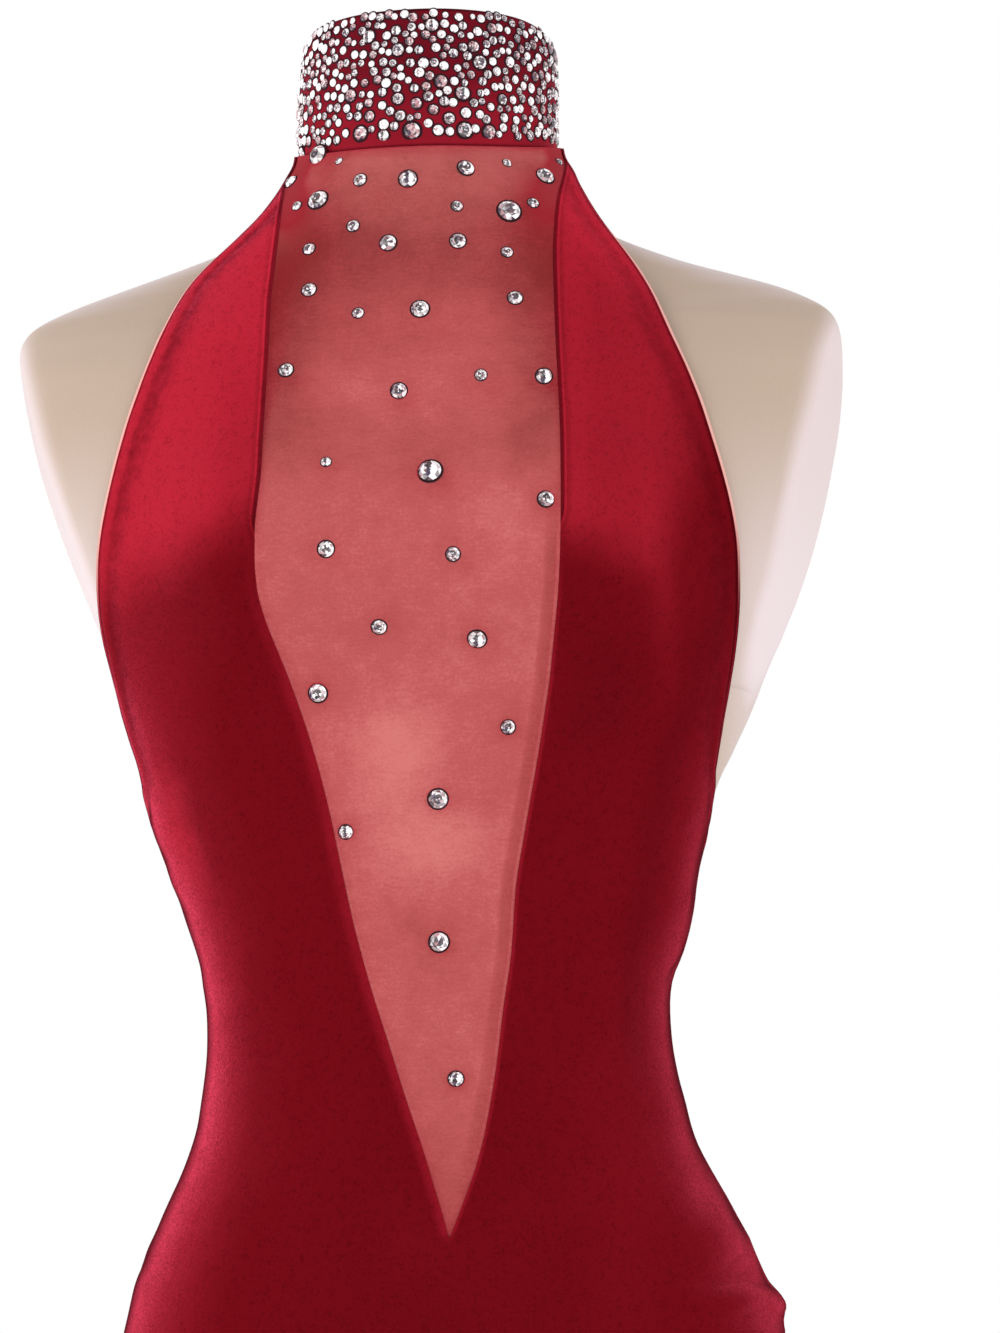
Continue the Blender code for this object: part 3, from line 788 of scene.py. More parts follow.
def stone_material(name):
    """Clear foiled stones: each facet's colour is a painted reflection, under a hard clear gloss, and also glows as
    painted light.
    """
    n = Nodes(name)
    facet = n.new("ShaderNodeAttribute", attribute_name="facet").outputs["Color"]
    cloud = n.noise(n.place(), 0.9, 1.0, 0.5)
    colour = n.mix(1.0, facet, n.ramp(cloud, [(0.3, 0.90), (0.7, 1.06)]), "MULTIPLY")
    n.set(Base_Color=colour)
    n.shader.inputs["Metallic"].default_value = 0.0
    n.shader.inputs["Roughness"].default_value = 0.10
    n.shader.inputs["IOR"].default_value = 1.5
    n.shader.inputs["Coat Weight"].default_value = 0.25
    n.shader.inputs["Coat Roughness"].default_value = 0.03
    # painted glow: the stones give off their facet colours as light
    n.shader.inputs["Emission Strength"].default_value = 0.20
    n.set(Emission_Color=colour)
    return n.material


def setting_material(name):
    """The dark foot of each stone, and the shade it throws round itself."""
    n = Nodes(name)
    n.set(Base_Color=n.mix(n.noise(n.place(), 0.5, 2.0, 0.5), (0.020, 0.007, 0.010), (0.040, 0.013, 0.018)))
    n.shader.inputs["Roughness"].default_value = 0.9
    n.shader.inputs["Specular IOR Level"].default_value = 0.05
    return n.material


def form_material(name):
    """Cream knitted cover: a fine jersey grain, with painted light making it whiter where the arm plates begin, on the
    shoulder tops and low on the sides.
    """
    n = Nodes(name)
    knit_up = n.new("ShaderNodeTexWave", wave_type="BANDS", bands_direction="X")
    n.link(n.place((0.9, 0.9, 0.05)), knit_up.inputs["Vector"])
    knit_up.inputs["Scale"].default_value = 0.5
    knit_up.inputs["Distortion"].default_value = 1.5
    knit_up.inputs["Detail"].default_value = 2.0
    where = n.place()
    grain = n.noise(where, 0.7, 3.0, 0.6)
    cloud = n.noise(where, 0.01, 2.0, 0.5)
    colour = n.mix(cloud, (0.515, 0.390, 0.308), (0.560, 0.430, 0.345))
    colour = n.mix(n.math("MULTIPLY", grain, 0.26), colour, (0.40, 0.29, 0.21))
    colour = n.mix(n.math("MULTIPLY", knit_up.outputs["Fac"], 0.05), colour, (0.42, 0.31, 0.23))
    # painted light: whiter on the arm plates, the shoulder tops and the lower sides
    colour = n.mix(n.value("painted_cover_light"), colour, (0.770, 0.655, 0.675))
    seam = n.ramp(n.math("DIVIDE", n.value("seam"), 4.0), [(0.0, 0.62), (0.12, 0.75), (0.30, 1.0)])
    colour = n.mix(1.0, colour, seam, "MULTIPLY")
    n.set(Base_Color=colour)
    n.shader.inputs["Roughness"].default_value = 0.85
    n.shader.inputs["Specular IOR Level"].default_value = 0.15
    n.shader.inputs["Sheen Weight"].default_value = 0.45
    n.shader.inputs["Sheen Roughness"].default_value = 0.32
    n.shader.inputs["Sheen Tint"].default_value = (1.0, 0.95, 0.97, 1.0)
    n.set(Normal=n.bump(grain, 0.2, 0.3, n.bump(knit_up.outputs["Fac"], 0.15, 0.2)))
    return n.material


def metal_material(name, colour, roughness, turned_round):
    """Satin steel with fine marks: round for turned pieces, upright for the pole."""
    n = Nodes(name)
    if turned_round:
        coordinates = n.new("ShaderNodeTexCoord").outputs["Object"]
        split = n.new("ShaderNodeSeparateXYZ")
        n.link(coordinates, split.inputs[0])
        reach = n.math(
            "SQRT",
            n.math(
                "ADD",
                n.math("MULTIPLY", split.outputs[0], split.outputs[0]),
                n.math("MULTIPLY", split.outputs[1], split.outputs[1]),
            ),
        )
        joined = n.new("ShaderNodeCombineXYZ")
        n.link(n.math("MULTIPLY", reach, 1500.0), joined.inputs[0])
        n.link(n.math("MULTIPLY", split.outputs[2], 900.0), joined.inputs[2])
        marks = n.noise(joined.outputs[0], 1.0, 3.0, 0.6)
    else:
        marks = n.noise(n.place((1.5, 1.5, 0.02)), 1.0, 3.0, 0.6)
    cloud = n.noise(n.place(), 0.02, 2.0, 0.5)
    base = n.mix(n.math("MULTIPLY", marks, 0.35), colour, tuple(0.6 * c for c in colour))
    n.set(Base_Color=base, Roughness=n.math("ADD", roughness, n.math("MULTIPLY", cloud, 0.12)))
    n.shader.inputs["Metallic"].default_value = 1.0
    n.set(Normal=n.bump(marks, 0.10, 0.05))
    return n.material


def wood_material(name):
    n = Nodes(name)
    where = n.place((1.0, 0.12, 1.0))
    wave = n.new("ShaderNodeTexWave", wave_type="RINGS", rings_direction="Y")
    n.link(where, wave.inputs["Vector"])
    wave.inputs["Scale"].default_value = 0.09
    wave.inputs["Distortion"].default_value = 4.0
    wave.inputs["Detail"].default_value = 3.0
    fine = n.noise(n.place((1.0, 0.05, 1.0)), 1.2, 3.0, 0.6)
    colour = n.mix(wave.outputs["Fac"], (0.36, 0.19, 0.085), (0.56, 0.35, 0.18))
    colour = n.mix(n.math("MULTIPLY", fine, 0.4), colour, (0.24, 0.12, 0.05))
    n.set(Base_Color=colour)
    n.shader.inputs["Roughness"].default_value = 0.38
    n.shader.inputs["Coat Weight"].default_value = 0.3
    n.shader.inputs["Coat Roughness"].default_value = 0.2
    n.set(Normal=n.bump(fine, 0.15, 0.1))
    return n.material


# ---------------------------------------------------------------- the camera
FOCAL_PX, HIGH = 6250.0, 1333.0
camera_data = bpy.data.cameras.new("camera")
camera = bpy.data.objects.new("camera", camera_data)
bpy.context.scene.collection.objects.link(camera)
bpy.context.scene.camera = camera
azimuth, elevation, roll = math.radians(4.0), math.radians(-7.0), math.radians(-1.05)
back = Vector(
    (
        math.sin(azimuth) * math.cos(elevation),
        -math.cos(azimuth) * math.cos(elevation),
        math.sin(elevation),
    )
)
right = Vector((math.cos(azimuth), math.sin(azimuth), 0.0))
up = back.cross(right)
right_rolled = right * math.cos(roll) + up * math.sin(roll)
up_rolled = -right * math.sin(roll) + up * math.cos(roll)
DISTANCE, SCALE = 3.0, 0.00048
target = Vector((0.0, 0.0, 1.030 + (1005.0 - 666.5) * SCALE / math.cos(elevation)))
eye = target + back * DISTANCE - right_rolled * ((436.0 - 500.0) * SCALE)
turn = Matrix((right_rolled, up_rolled, back)).transposed()
camera.matrix_world = Matrix.Translation(eye) @ turn.to_4x4()
camera_data.sensor_fit = "AUTO"
camera_data.sensor_width = 36.0
camera_data.lens = 36.0 * FOCAL_PX / HIGH
camera_data.clip_start, camera_data.clip_end = 0.1, 200.0


def through(px, py):
    """Direction from the camera through a point of the 1000 x 1333 picture."""
    ray = -back + right_rolled * ((px - 500.0) / FOCAL_PX) - up_rolled * ((py - 666.5) / FOCAL_PX)
    return ray.normalized()


def picture(points):
    """Where points (mm) appear in that picture."""
    away = 0.001 * np.asarray(points, float) - np.array(eye)
    depth = -away @ np.array(back)
    return (
        500.0 + FOCAL_PX * (away @ np.array(right_rolled)) / depth,
        666.5 - FOCAL_PX * (away @ np.array(up_rolled)) / depth,
    )


def girth_seen(rows, side, level, start, end):
    """Signed girth at which the cloth meets a line of the picture at one height."""
    girth = np.linspace(start, end, 260)
    px, py = picture(on_cloth(np.full_like(girth, level), girth))
    beyond = side * (px - between(rows, 1, py))
    over = np.nonzero(beyond > 0)[0]
    if not len(over):
        return girth[int(np.argmax(beyond))]
    k = max(int(over[0]), 1)
    part = np.clip(-beyond[k - 1] / max(beyond[k] - beyond[k - 1], 1e-9), 0, 1)
    return girth[k - 1] + part * (girth[k] - girth[k - 1])


for side in (-1, 1):
    V_GIRTH[side] = np.array(
        [girth_seen(V_LINE[side], side, level, -side * 30.0, side * 96.0) for level in EDGE_LEVELS]
    )
    arm = []
    for level in EDGE_LEVELS:
        most = min(float(side_girth(level, side)), float(between(ARMHOLE, 1, level)) + np.interp(level, [1380, 1410], [7, 40]))
        arm.append(abs(girth_seen(ARM_LINE[side], side, level, side * 50.0, side * most)))
    top = [1392, 1410, 1425, 1440], {-1: [120, 92, 82, 80], 1: [120, 93, 89, 87]}[side]
    arm = np.where(EDGE_LEVELS > 1390, np.minimum(arm, np.interp(EDGE_LEVELS, *top)), arm)
    ARM_GIRTH[side] = np.convolve(np.pad(arm, 3, mode="edge"), np.ones(7) / 7, "valid")


# ---------------------------------------------------------------- velvet front
def blob(z, girth, at_z, at_girth, high, wide):
    return np.exp(-(((z - at_z) / high) ** 2) - ((girth - at_girth) / wide) ** 2)


def painted_pile_light_of(z, girth):
    """Painted light: how much the pile catches the light, on the wings down to the top of the bust."""
    far = np.abs(girth)
    uneven = wander(z, girth, seed=51, size=34) * 3.0
    right_side = 1249 - 0.34 * (far - 80)
    left_side = np.interp(far, [70, 100, 112, 124, 138, 152], [1239, 1228, 1225, 1234, 1258, 1278])
    limit = np.where(girth < 0, right_side, left_side) + uneven
    soften = np.where(girth > 0, 1 + 1.3 * smooth(112, 124, far), 1.3)
    lit = smooth(limit - 17 * soften, limit + 19 * soften, z)
    right_power = np.interp(z, [1225, 1262, 1304, 1345, 1440], [0.78, 0.84, 0.94, 1.0, 0.95])
    right_power = right_power * (1 - 0.14 * (1 - smooth(82, 100, far)) * (1 - smooth(1300, 1350, z)))
    falloff = np.interp(far, [60, 112, 125, 140, 152], [1.06, 1.0, 0.70, 0.32, 0.15])
    falloff = 1 + (falloff - 1) * (1 - smooth(1300, 1345, z))
    left_power = 0.53 * falloff * (1 + 0.14 * smooth(1350, 1400, z))
    left_power = left_power * (1 + 0.22 * bump(far, 76, 7) * (1 - smooth(1380, 1410, z)))
    painted_pile_light = lit * np.where(girth < 0, right_power, left_power)
    painted_pile_light = painted_pile_light + np.where(girth > 0, 0.13 * blob(z, girth, 1212, 119, 34, 8) - 0.05 * blob(z, girth, 1180, 138, 60, 9), 0)
    painted_pile_light = painted_pile_light + np.where(girth > 0, 0.06 * blob(z, girth, 945, 92, 55, 30), 0)
    return np.clip(painted_pile_light + 0.02 * wander(z, girth, seed=52, size=50), 0, 1)


def edge_sheen_strength_of(points):
    """How strong the painted sheen is where the cloth turns away: the wearer's right shows a broader bright edge."""
    around = np.arctan2(points[:, 0], -points[:, 1])
    edge_sheen_strength = 0.89 - 0.39 * np.sin(around)
    left = smooth(0.6, 0.9, np.sin(around))
    return edge_sheen_strength + left * (0.24 * bump(points[:, 2], 915, 46) - 0.20 * bump(points[:, 2], 1122, 30))


def side_sheen(points):
    """Painted sheen: the broad soft part of that bright side, where the cloth only begins to turn away."""
    lean = -points[:, 0] / np.hypot(points[:, 0], points[:, 1])
    level = points[:, 2]
    lean = lean + 0.012 * wander(level, 90.0 * lean, seed=61, size=24) * smooth(0.6, 0.8, lean) * (1 - smooth(0.97, 1.0, lean))
    narrow, waist = bump(level, 1112, 34), bump(level, 1030, 46)
    plain = smooth(0.74 + 0.07 * waist, 0.97, lean)
    spread_ = (1 - narrow) * plain + narrow * (2.7 * smooth(0.885, 0.955, lean) - 0.15 * smooth(0.5, 0.8, lean))
    return (0.17 + 0.20 * bump(level, 935, 55) + 0.04 * narrow) * spread_ * (
        1 - smooth(1180, 1240, level)
    )


FRONT_ROWS = np.concatenate(
    [
        HEM + EDGE_STEPS,
        spread(HEM + 11, (HEM + 26, 6), (700, 52), (860, 24), (V_POINT, 30))[0:],
        spread(V_POINT, (V_POINT + 12, 6), (1105, 50), (1145, 22), (1370, 64), (WING_TOP + 0.1, 30))[1:],
    ]
)


def velvet_front():
    z = FRONT_ROWS
    middle = 24
    points, values = [], {"hem": [], "seam": [], "pale": [], "painted_pile_light": [], "glow": [], "ridge": [], "shade": []}
    index, count = {}, 0
    for side in (-1, 1):
        inner = np.where(z <= V_POINT, V_SHIFT, v_edge(z, side) + side * 0.15)
        outer = outer_edge(z, side)
        girth, from_v, from_edge = across(inner, outer, middle)
        height = np.broadcast_to(z[:, None], girth.shape)
        roomy = smooth(4, 16, np.abs(outer - inner))[:, None]
        # the wings end on the collar's seam
        reach = np.clip(np.abs(girth) / side_girth(WING_TOP, 1), 0, 1)
        seam_height = collar_low(reach * math.pi / 2) - 0.15
        lift = smooth(1400, WING_TOP, height)
        height = height + lift * (seam_height - WING_TOP)
        above = height > SIDE_TOP
        in_v = height > V_POINT
        armhole = smooth(SIDE_TOP - 3, SIDE_TOP + 4, height)
        v_there = smooth(V_POINT - 1, V_POINT + 5, height)
        v_high = smooth(1168, 1252, height)
        up_from_hem = height - HEM
        uneven = 1 + 0.35 * wander(height, girth, seed=3, size=30)
        relief = roomy * (
            armhole * uneven * (-0.50 * bump(from_edge, 0, 0.9) + 0.34 * bump(from_edge, 4.8, 1.8) - 0.50 * bump(from_edge, 10.0, 3.0))
            + v_there * (0.35 + 0.65 * v_high) * (-0.50 * bump(from_v, 0.4, 1.0) + 0.14 * bump(from_v, 2.4, 0.5) - 0.10 * bump(from_v, 3.8, 0.8))
            + (1 - armhole) * (-0.75 * bump(from_edge, 0, 1.1) + 0.16 * bump(from_edge, 3.0, 1.6))
            + (-0.45 * bump(up_from_hem, 0, 0.9) - 0.35 * bump(up_from_hem, 24, 1.4))
        )
        relief = relief + creases(height, girth) * smooth(2, 14, np.minimum(from_edge, from_v + 40 * (1 - v_there)))
        relief = relief + 0.22 * wander(height, girth, seed=11, size=90) * smooth(4, 20, from_edge)
        place = on_cloth(height, girth)
        normal = cloth_normal(height, girth)
        outside = place + relief[..., None] * normal
        inside = place - (WALL - 0.25) * normal
        rows, columns = girth.shape
        ids = np.arange(rows * columns).reshape(rows, columns) + count
        if side > 0:
            shared = z <= V_POINT
            ids[shared, 0] = index[-1][shared, 0]
        index[side] = ids
        count += rows * columns
        open_air = smooth(1391, 1398, height)
        hem = np.where(above, from_edge, 60.0) + 60 * (1 - armhole)
        hem = np.minimum(hem, np.where(up_from_hem < 40, 60 + up_from_hem, 200))
        side_seam = (1 - armhole) * 1.0
        seam = np.minimum(from_v + 60 * (1 - v_high), from_edge * 2.2 + 60 * (1 - side_seam))
        by_v = (1 - v_high) * smooth(V_POINT - 3, V_POINT + 4, height)
        if side < 0:
            wide = 1.0 - 0.22 * (1 - smooth(960, 1080, height))
            glow = (1 - smooth(0.8 * wide, 7.6 * wide, from_v)) * by_v
            glow = glow * np.clip(0.66 + 0.20 * (1 - smooth(960, 1080, height)) + 0.2 * wander(height, girth, seed=53, size=26), 0, 1)
        else:
            glow = 0.80 * (1 - smooth(0.9, 2.2, from_v)) * by_v
        points.append((outside.reshape(-1, 3), inside.reshape(-1, 3)))
        values["hem"].append(hem.ravel())
        values["seam"].append(seam.ravel())
        values["pale"].append((armhole * (1 - open_air) * smooth(1205, 1262, height)).ravel())
        # painted light on the pile: the wings, the fold crests, the shoulder end of the wing and the hip
        painted_pile_light = painted_pile_light_of(height, girth) + fold_light(place)
        if side > 0:  # the shoulder end of this wing leans back into the light, and so does the hip
            painted_pile_light = painted_pile_light + 0.26 * bump(height, 915, 52) * (1 - smooth(8, 30, from_edge))
            painted_pile_light = painted_pile_light + 0.13 * bump(height, 1195, 44) * bump(from_edge, 9.0, 4.5)
            painted_pile_light = painted_pile_light + 0.44 * smooth(1342, 1386, height) * (1 - 0.88 * smooth(9, 32, from_edge))
        else:
            painted_pile_light = painted_pile_light + 0.06 * smooth(1370, 1400, height)
        values["painted_pile_light"].append(np.clip(painted_pile_light, 0, 1).ravel())
        values["glow"].append(glow.ravel())
        # painted shade: two faint darker upright bands under the wearer's left bust, where the cloth is drawn down
        lean = place[..., 0] / np.hypot(place[..., 0], place[..., 1])
        lean = lean + 0.02 * wander(height, 80.0 * lean, seed=63, size=70)
        shade = 0.20 * bump(lean, 0.90, 0.040) * smooth(965, 1015, height) * (1 - smooth(1225, 1262, height))
        inner = smooth(1130, 1155, height) * (1 - smooth(1180, 1205, height))
        shade = shade + 0.14 * bump(lean, 0.70, 0.10) * inner
        values["shade"].append(shade.ravel())
        # how strongly the turned edge's painted light and shade show: strong on the wearer's right, faint on the left
        ridge = (0.35 + 0.65 * smooth(1228, 1300, height)) if side < 0 else 0.12 * smooth(1300, 1360, height)
        values["ridge"].append(ridge.ravel())
    quads = []
    for side in (-1, 1):
        ids = index[side]
        face = np.stack([ids[:-1, :-1], ids[:-1, 1:], ids[1:, 1:], ids[1:, :-1]], axis=-1).reshape(-1, 4)
        quads.append(face if side > 0 else face[:, ::-1])
    quads = np.concatenate(quads)
    outer = np.concatenate([p[0] for p in points])
    inner = np.concatenate([p[1] for p in points])
    used = np.unique(quads)
    renumber = np.full(len(outer), -1)
    renumber[used] = np.arange(len(used))
    quads = renumber[quads]
    outer, inner = outer[used], inner[used]
    all_points, all_faces = close_shell(outer, inner, quads)
    made = to_mesh("velvet_front", all_points, all_faces.tolist(), sharp=70)
    for name, parts in values.items():
        flat = np.concatenate(parts)[used]
        add_value(made, name, np.concatenate([flat, flat]))
    edge_sheen_strength = edge_sheen_strength_of(outer)
    add_value(made, "edge_sheen_strength", np.concatenate([edge_sheen_strength, edge_sheen_strength]))
    # the painted sheen of the bright side joins the painted pile light
    sheen = np.clip(np.concatenate(values["painted_pile_light"])[used] + side_sheen(outer), 0, 1)
    made.data.attributes["painted_pile_light"].data.foreach_set("value", np.concatenate([sheen, sheen]).astype(np.float32))
    return made


def fold_light(place):
    """Painted light on the crests of the skirt's folds, and painted shade between them."""
    degrees = np.degrees(np.arctan2(place[..., 0], -place[..., 1]))
    total = np.zeros(degrees.shape)
    for at, width, depth, top in FOLDS:
        grow = np.clip((top - place[..., 2]) / (top - HEM), 0, 1)
        away = (degrees - at - 0.35 * width + 180) % 360 - 180
        total = total + np.sign(depth) * abs(depth) ** 0.6 * grow**0.9 * np.exp(-((away / (0.8 * width)) ** 2))
    return 0.042 * total


def velvet_back():
    across_steps = 2 * 44
    turn = np.linspace(1, -1, across_steps + 1)
    # columns close together near the side seams
    turn = np.sign(turn) * (1 - (1 - np.abs(turn)) ** 1.25)
    top = BACK_LOW + (SIDE_TOP - BACK_LOW) * np.abs(turn) ** 2.0
    low = HEM + np.concatenate([EDGE_STEPS, [11, 14, 18, 22, 23.2, 24.4, 26]])
    high = EDGE_STEPS[::-1]
    rows = []
    for j in range(len(turn)):
        middle = np.linspace(low[-1], top[j] - high[0], 210)[1:-1]
        rows.append(np.concatenate([low, middle, top[j] - high]))
    height = np.array(rows).T
    side = np.where(turn >= 0, 1, -1)[None, :]
    first = np.where(side > 0, side_girth(height, 1), side_girth(height, -1))
    whole = np.where(side > 0, whole_girth(height, 1), whole_girth(height, -1))
    girth = side * (first + (whole - first) * (1 - np.abs(turn))[None, :])
    slope = np.gradient(top, np.abs(whole[-1] - np.abs(girth[-1])) * np.where(turn >= 0, -1, 1) + 1e-6)
    from_top = (top[None, :] - height) / np.hypot(1, np.clip(slope, -2, 2))[None, :]
    from_side = np.abs(girth) - first + 0.01
    up_from_hem = height - HEM
    uneven = 1 + 0.35 * wander(height, girth, seed=5, size=30)
    relief = (
        uneven * (-0.50 * bump(from_top, 0, 0.9) + 0.32 * bump(from_top, 4.0, 1.6) - 0.42 * bump(from_top, 8.0, 1.9))
        - 0.75 * bump(from_side, 0, 1.1)
        + 0.16 * bump(from_side, 3.0, 1.6)
        - 0.45 * bump(up_from_hem, 0, 0.9)
        - 0.35 * bump(up_from_hem, 24, 1.4)
        + creases(height, girth) * smooth(2, 14, from_side) * smooth(2, 14, from_top)
        + 0.22 * wander(height, girth, seed=12, size=90) * smooth(4, 20, from_side)
    )
    limit = whole - 0.001
    safe = np.clip(girth, -limit, limit)
    place = on_cloth(height, safe)
    normal = cloth_normal(height, safe)
    outside = place + relief[..., None] * normal
    inside = place - (WALL - 0.25) * normal
    quads = grid_faces(*height.shape)
    outer, inner = outside.reshape(-1, 3), inside.reshape(-1, 3)
    all_points, all_faces = close_shell(outer, inner, quads)
    made = to_mesh("velvet_back", all_points, all_faces.tolist(), sharp=70)
    twice = lambda values: np.concatenate([values.ravel(), values.ravel()])
    add_value(made, "hem", twice(from_top))
    add_value(made, "seam", twice(from_side * 2.2))
    add_value(made, "pale", twice(np.ones_like(height)))
    # painted light on the back: brighter on crease ridges and fold crests, darker in their troughs, with broad soft
    # patches and uneven tone
    painted_pile_light = 0.17 * blob(height, np.abs(girth), 868, 262, 46, 44) + 0.10 * blob(height, girth, 960, -215, 34, 40)
    painted_pile_light = painted_pile_light + 0.17 * creases(height, girth) * smooth(2, 14, from_top)
    painted_pile_light = painted_pile_light + 1.35 * fold_light(outer.reshape(height.shape + (3,)))
    painted_pile_light = painted_pile_light + np.where(girth > 0, 0.20 * bump(height, 915, 52) * (1 - smooth(8, 36, from_side)), 0)
    painted_pile_light = painted_pile_light + 0.07 * blob(height, girth, 905, 345, 60, 46) + 0.06 * blob(height, girth, 880, -330, 52, 42) + 0.05
    painted_pile_light = painted_pile_light + 0.06 * wander(height, girth, seed=54, size=80) + 0.05 * wander(height, 3.0 * girth, seed=55, size=160)
    painted_pile_light = np.clip(painted_pile_light.ravel() + side_sheen(outer), 0, 1)
    add_value(made, "painted_pile_light", np.concatenate([painted_pile_light, painted_pile_light]))
    add_value(made, "glow", twice(np.zeros_like(height)))
    add_value(made, "ridge", twice(np.full_like(height, 0.5)))
    edge_sheen_strength = edge_sheen_strength_of(outer)
    add_value(made, "edge_sheen_strength", np.concatenate([edge_sheen_strength, edge_sheen_strength]))
    return made


# Stones scattered on the mesh, as they lie in the picture.
SCATTERED = [
    # picture x, picture y, width in the picture (px)
    (339, 161, 8), (360, 180, 13), (408, 179, 17), (466, 168, 16), (507, 163, 9), (545, 176, 18),
    (559, 162, 8), (318, 200, 20), (297, 206, 10), (353, 226, 12), (457, 206, 11), (509, 211, 22),
    (533, 203, 11), (309, 249, 12), (388, 243, 16), (458, 241, 15), (507, 252, 11), (309, 290, 14),
    (358, 313, 11), (420, 309, 17), (515, 298, 14), (286, 370, 14), (399, 391, 15), (481, 375, 11),
    (544, 376, 15), (326, 462, 10), (430, 471, 22), (546, 499, 15), (326, 549, 15), (453, 554, 13),
    (379, 627, 14), (477, 639, 17), (318, 693, 17), (508, 727, 13), (438, 799, 18), (346, 832, 13),
    (439, 942, 18), (456, 1079, 14), (303, 155, 16), (318, 155, 20), (291, 182, 14),
]


# Painted shade (+) and painted light (-) on the mesh insert.
MESH_SHADE_SPOTS = [
    # z, girth, height, width, depth of tone
    (1341, -48, 12, 14, 0.16),
    (1331, -12, 8, 12, 0.12),
    (1300, -44, 9, 16, 0.10),
    (1370, 18, 10, 30, 0.10),
    (1388, -34, 9, 20, 0.08),
    (1352, 8, 8, 34, -0.08),
    (1310, -22, 8, 16, -0.07),
    (1281, 52, 14, 10, 0.18),
    (1235, -30, 10, 22, -0.04),
    (1166, -4, 5, 40, 0.07),
    (1120, 26, 16, 10, 0.06),
    (1063, -6, 8, 12, 0.10),
    (1040, 8, 14, 12, 0.04),
]


def sheer_insert():
    """The mesh insert, one thin layer stretched between the cut edges of the V."""
    z = spread(V_POINT + 1.0, (V_POINT + 14, 12), (1120, 100), (1385, 120), (WING_TOP, 40))
    left, right_ = v_edge(z, -1) - 0.55, v_edge(z, 1) + 0.55
    width = right_ - left
    near = np.array([0, 0.8, 1.6, 2.4, 3.4, 4.4, 5.6, 6.8, 8.2, 10.0])
    fit = np.minimum(1.0, 0.40 * width / near[-1])[:, None]
    first = near[None, :] * fit
    last = width[:, None] - first[:, ::-1]
    middle = first[:, -1:] + (last[:, :1] - first[:, -1:]) * np.linspace(0, 1, 31)[None, 1:-1]
    from_left = np.concatenate([first, middle, last], axis=1)
    from_right = width[:, None] - from_left
    girth = left[:, None] + from_left
    height = np.broadcast_to(z[:, None], girth.shape)
    reach = np.clip(np.abs(girth) / side_girth(WING_TOP, 1), 0, 1)
    seam_height = collar_low(reach * math.pi / 2) + 0.3
    lift = np.clip((height - 1380) / (WING_TOP - 1380), 0, 1) ** 2
    height = height + lift * (seam_height - WING_TOP)
    normal = cloth_normal(height, girth)
    place = on_cloth(height, girth) - 0.70 * normal
    place = place + (0.12 * wander(height, girth, seed=21, size=60))[..., None] * normal
    quads = grid_faces(*girth.shape)
    made = to_mesh("sheer_insert", place.reshape(-1, 3), quads.tolist())
    # tone, painted light and shade: 0 where the form shines through most, 1 where the mesh looks darkest
    high = smooth(1262, 1300, height)
    tone = 0.37 + 0.07 * smooth(1240, 1330, height)
    tone = tone + 0.28 * bump(height, 1381, 25) - 0.05 * smooth(1395, 1425, height)
    tone = tone + high * (0.34 * (1 - smooth(2, 32, from_left)) + 0.30 * (1 - smooth(2, 38, from_right)))
    tone = tone - 0.07 * blob(height, girth, 1381, 40, 24, 18) + 0.13 * blob(height, girth, 1384, -38, 34, 26)
    tone = tone - 0.40 * blob(height, girth, 1143, -13, 25, 22) - 0.32 * blob(height, girth, 1101, 5, 19, 30)
    tone = tone - 0.12 * blob(height, girth, 1253, 43, 15, 14) - 0.08 * blob(height, girth, 1200, 30, 30, 30)
    tone = tone - 0.10 * blob(height, girth, 1315, -6, 16, 34) + 0.10 * blob(height, girth, 1287, -8, 12, 40)
    tone = tone + 0.22 * (1 - smooth(925, 1000, height))
    tone = tone + 0.04 * wander(height, girth, seed=31, size=70)
    low = smooth(940, 975, height) * (1 - smooth(1225, 1262, height))
    strip = smooth(1.6, 2.4, from_right) * (1 - smooth(5.6, 8.4, from_right))
    tone = tone + low * (0.15 + 0.10 * smooth(980, 1050, height)) * strip
    tone = tone - low * (0.16 * bump(from_right, 1.1, 0.6) + 0.05 * bump(from_right, 9.0, 1.2))
    tone = tone - low * 0.22 * bump(from_left, 1.1, 0.7) + high * 0.12 * bump(from_left, 0.6, 2.0)
    # painted shade in dark hollows and painted light in paler places, where the mesh lifts off or meets the form
    for at_z, at_girth, high_, wide_, depth in MESH_SHADE_SPOTS:
        tone = tone + depth * blob(height, girth, at_z, at_girth, high_, wide_)
    # painted shade where the mesh turns away at the sides of the neck
    neck = smooth(1382, 1414, height)
    side_on = np.clip((1 - smooth(3, 23, from_left)) + (1 - smooth(3, 21, from_right)), 0, 1)
    tone = tone + 0.36 * neck * side_on
    # painted shadows round the scattered stones
    for place_, radius in stone_spots(made):
        away = np.linalg.norm(place.reshape(-1, 3) - place_, axis=1).reshape(height.shape)
        tone = tone + 0.11 * np.exp(-((away / (2.1 * radius + 2.5)) ** 2))
    add_value(made, "tone", np.clip(tone, 0, 1))
    # painted shade near the insert's top corners, by the collar
    bare = np.clip((1 - smooth(5, 32, from_left)) + (1 - smooth(4, 28, from_right)), 0, 1)
    bare = bare * smooth(1380, 1420, height)
    add_value(made, "neck_shade_density", np.clip(0.24 * neck * side_on - 0.04 * neck, -0.1, 1))
    add_value(made, "corner_shade", bare)
    return made


# ---------------------------------------------------------------- the collar and its stones
def on_collar(angle, height):
    """Points of the collar's outer face."""
    width = between(COLLAR, 1, height)
    front = between(COLLAR, 2, height)
    behind = between(COLLAR, 3, height)
    deep = np.where(np.cos(angle) > 0, front, behind)
    lean = COLLAR_LEAN * smooth(1450, 1490, height)
    return np.stack([width * np.sin(angle) + 0.4 + lean, -deep * np.cos(angle), height * np.ones_like(angle)], axis=-1)


def collar_normal(angle, height):
    along = on_collar(angle + 0.01, height) - on_collar(angle - 0.01, height)
    upward = on_collar(angle, height + 0.5) - on_collar(angle, height - 0.5)
    out = np.cross(along, upward)
    return out / np.linalg.norm(out, axis=-1, keepdims=True)


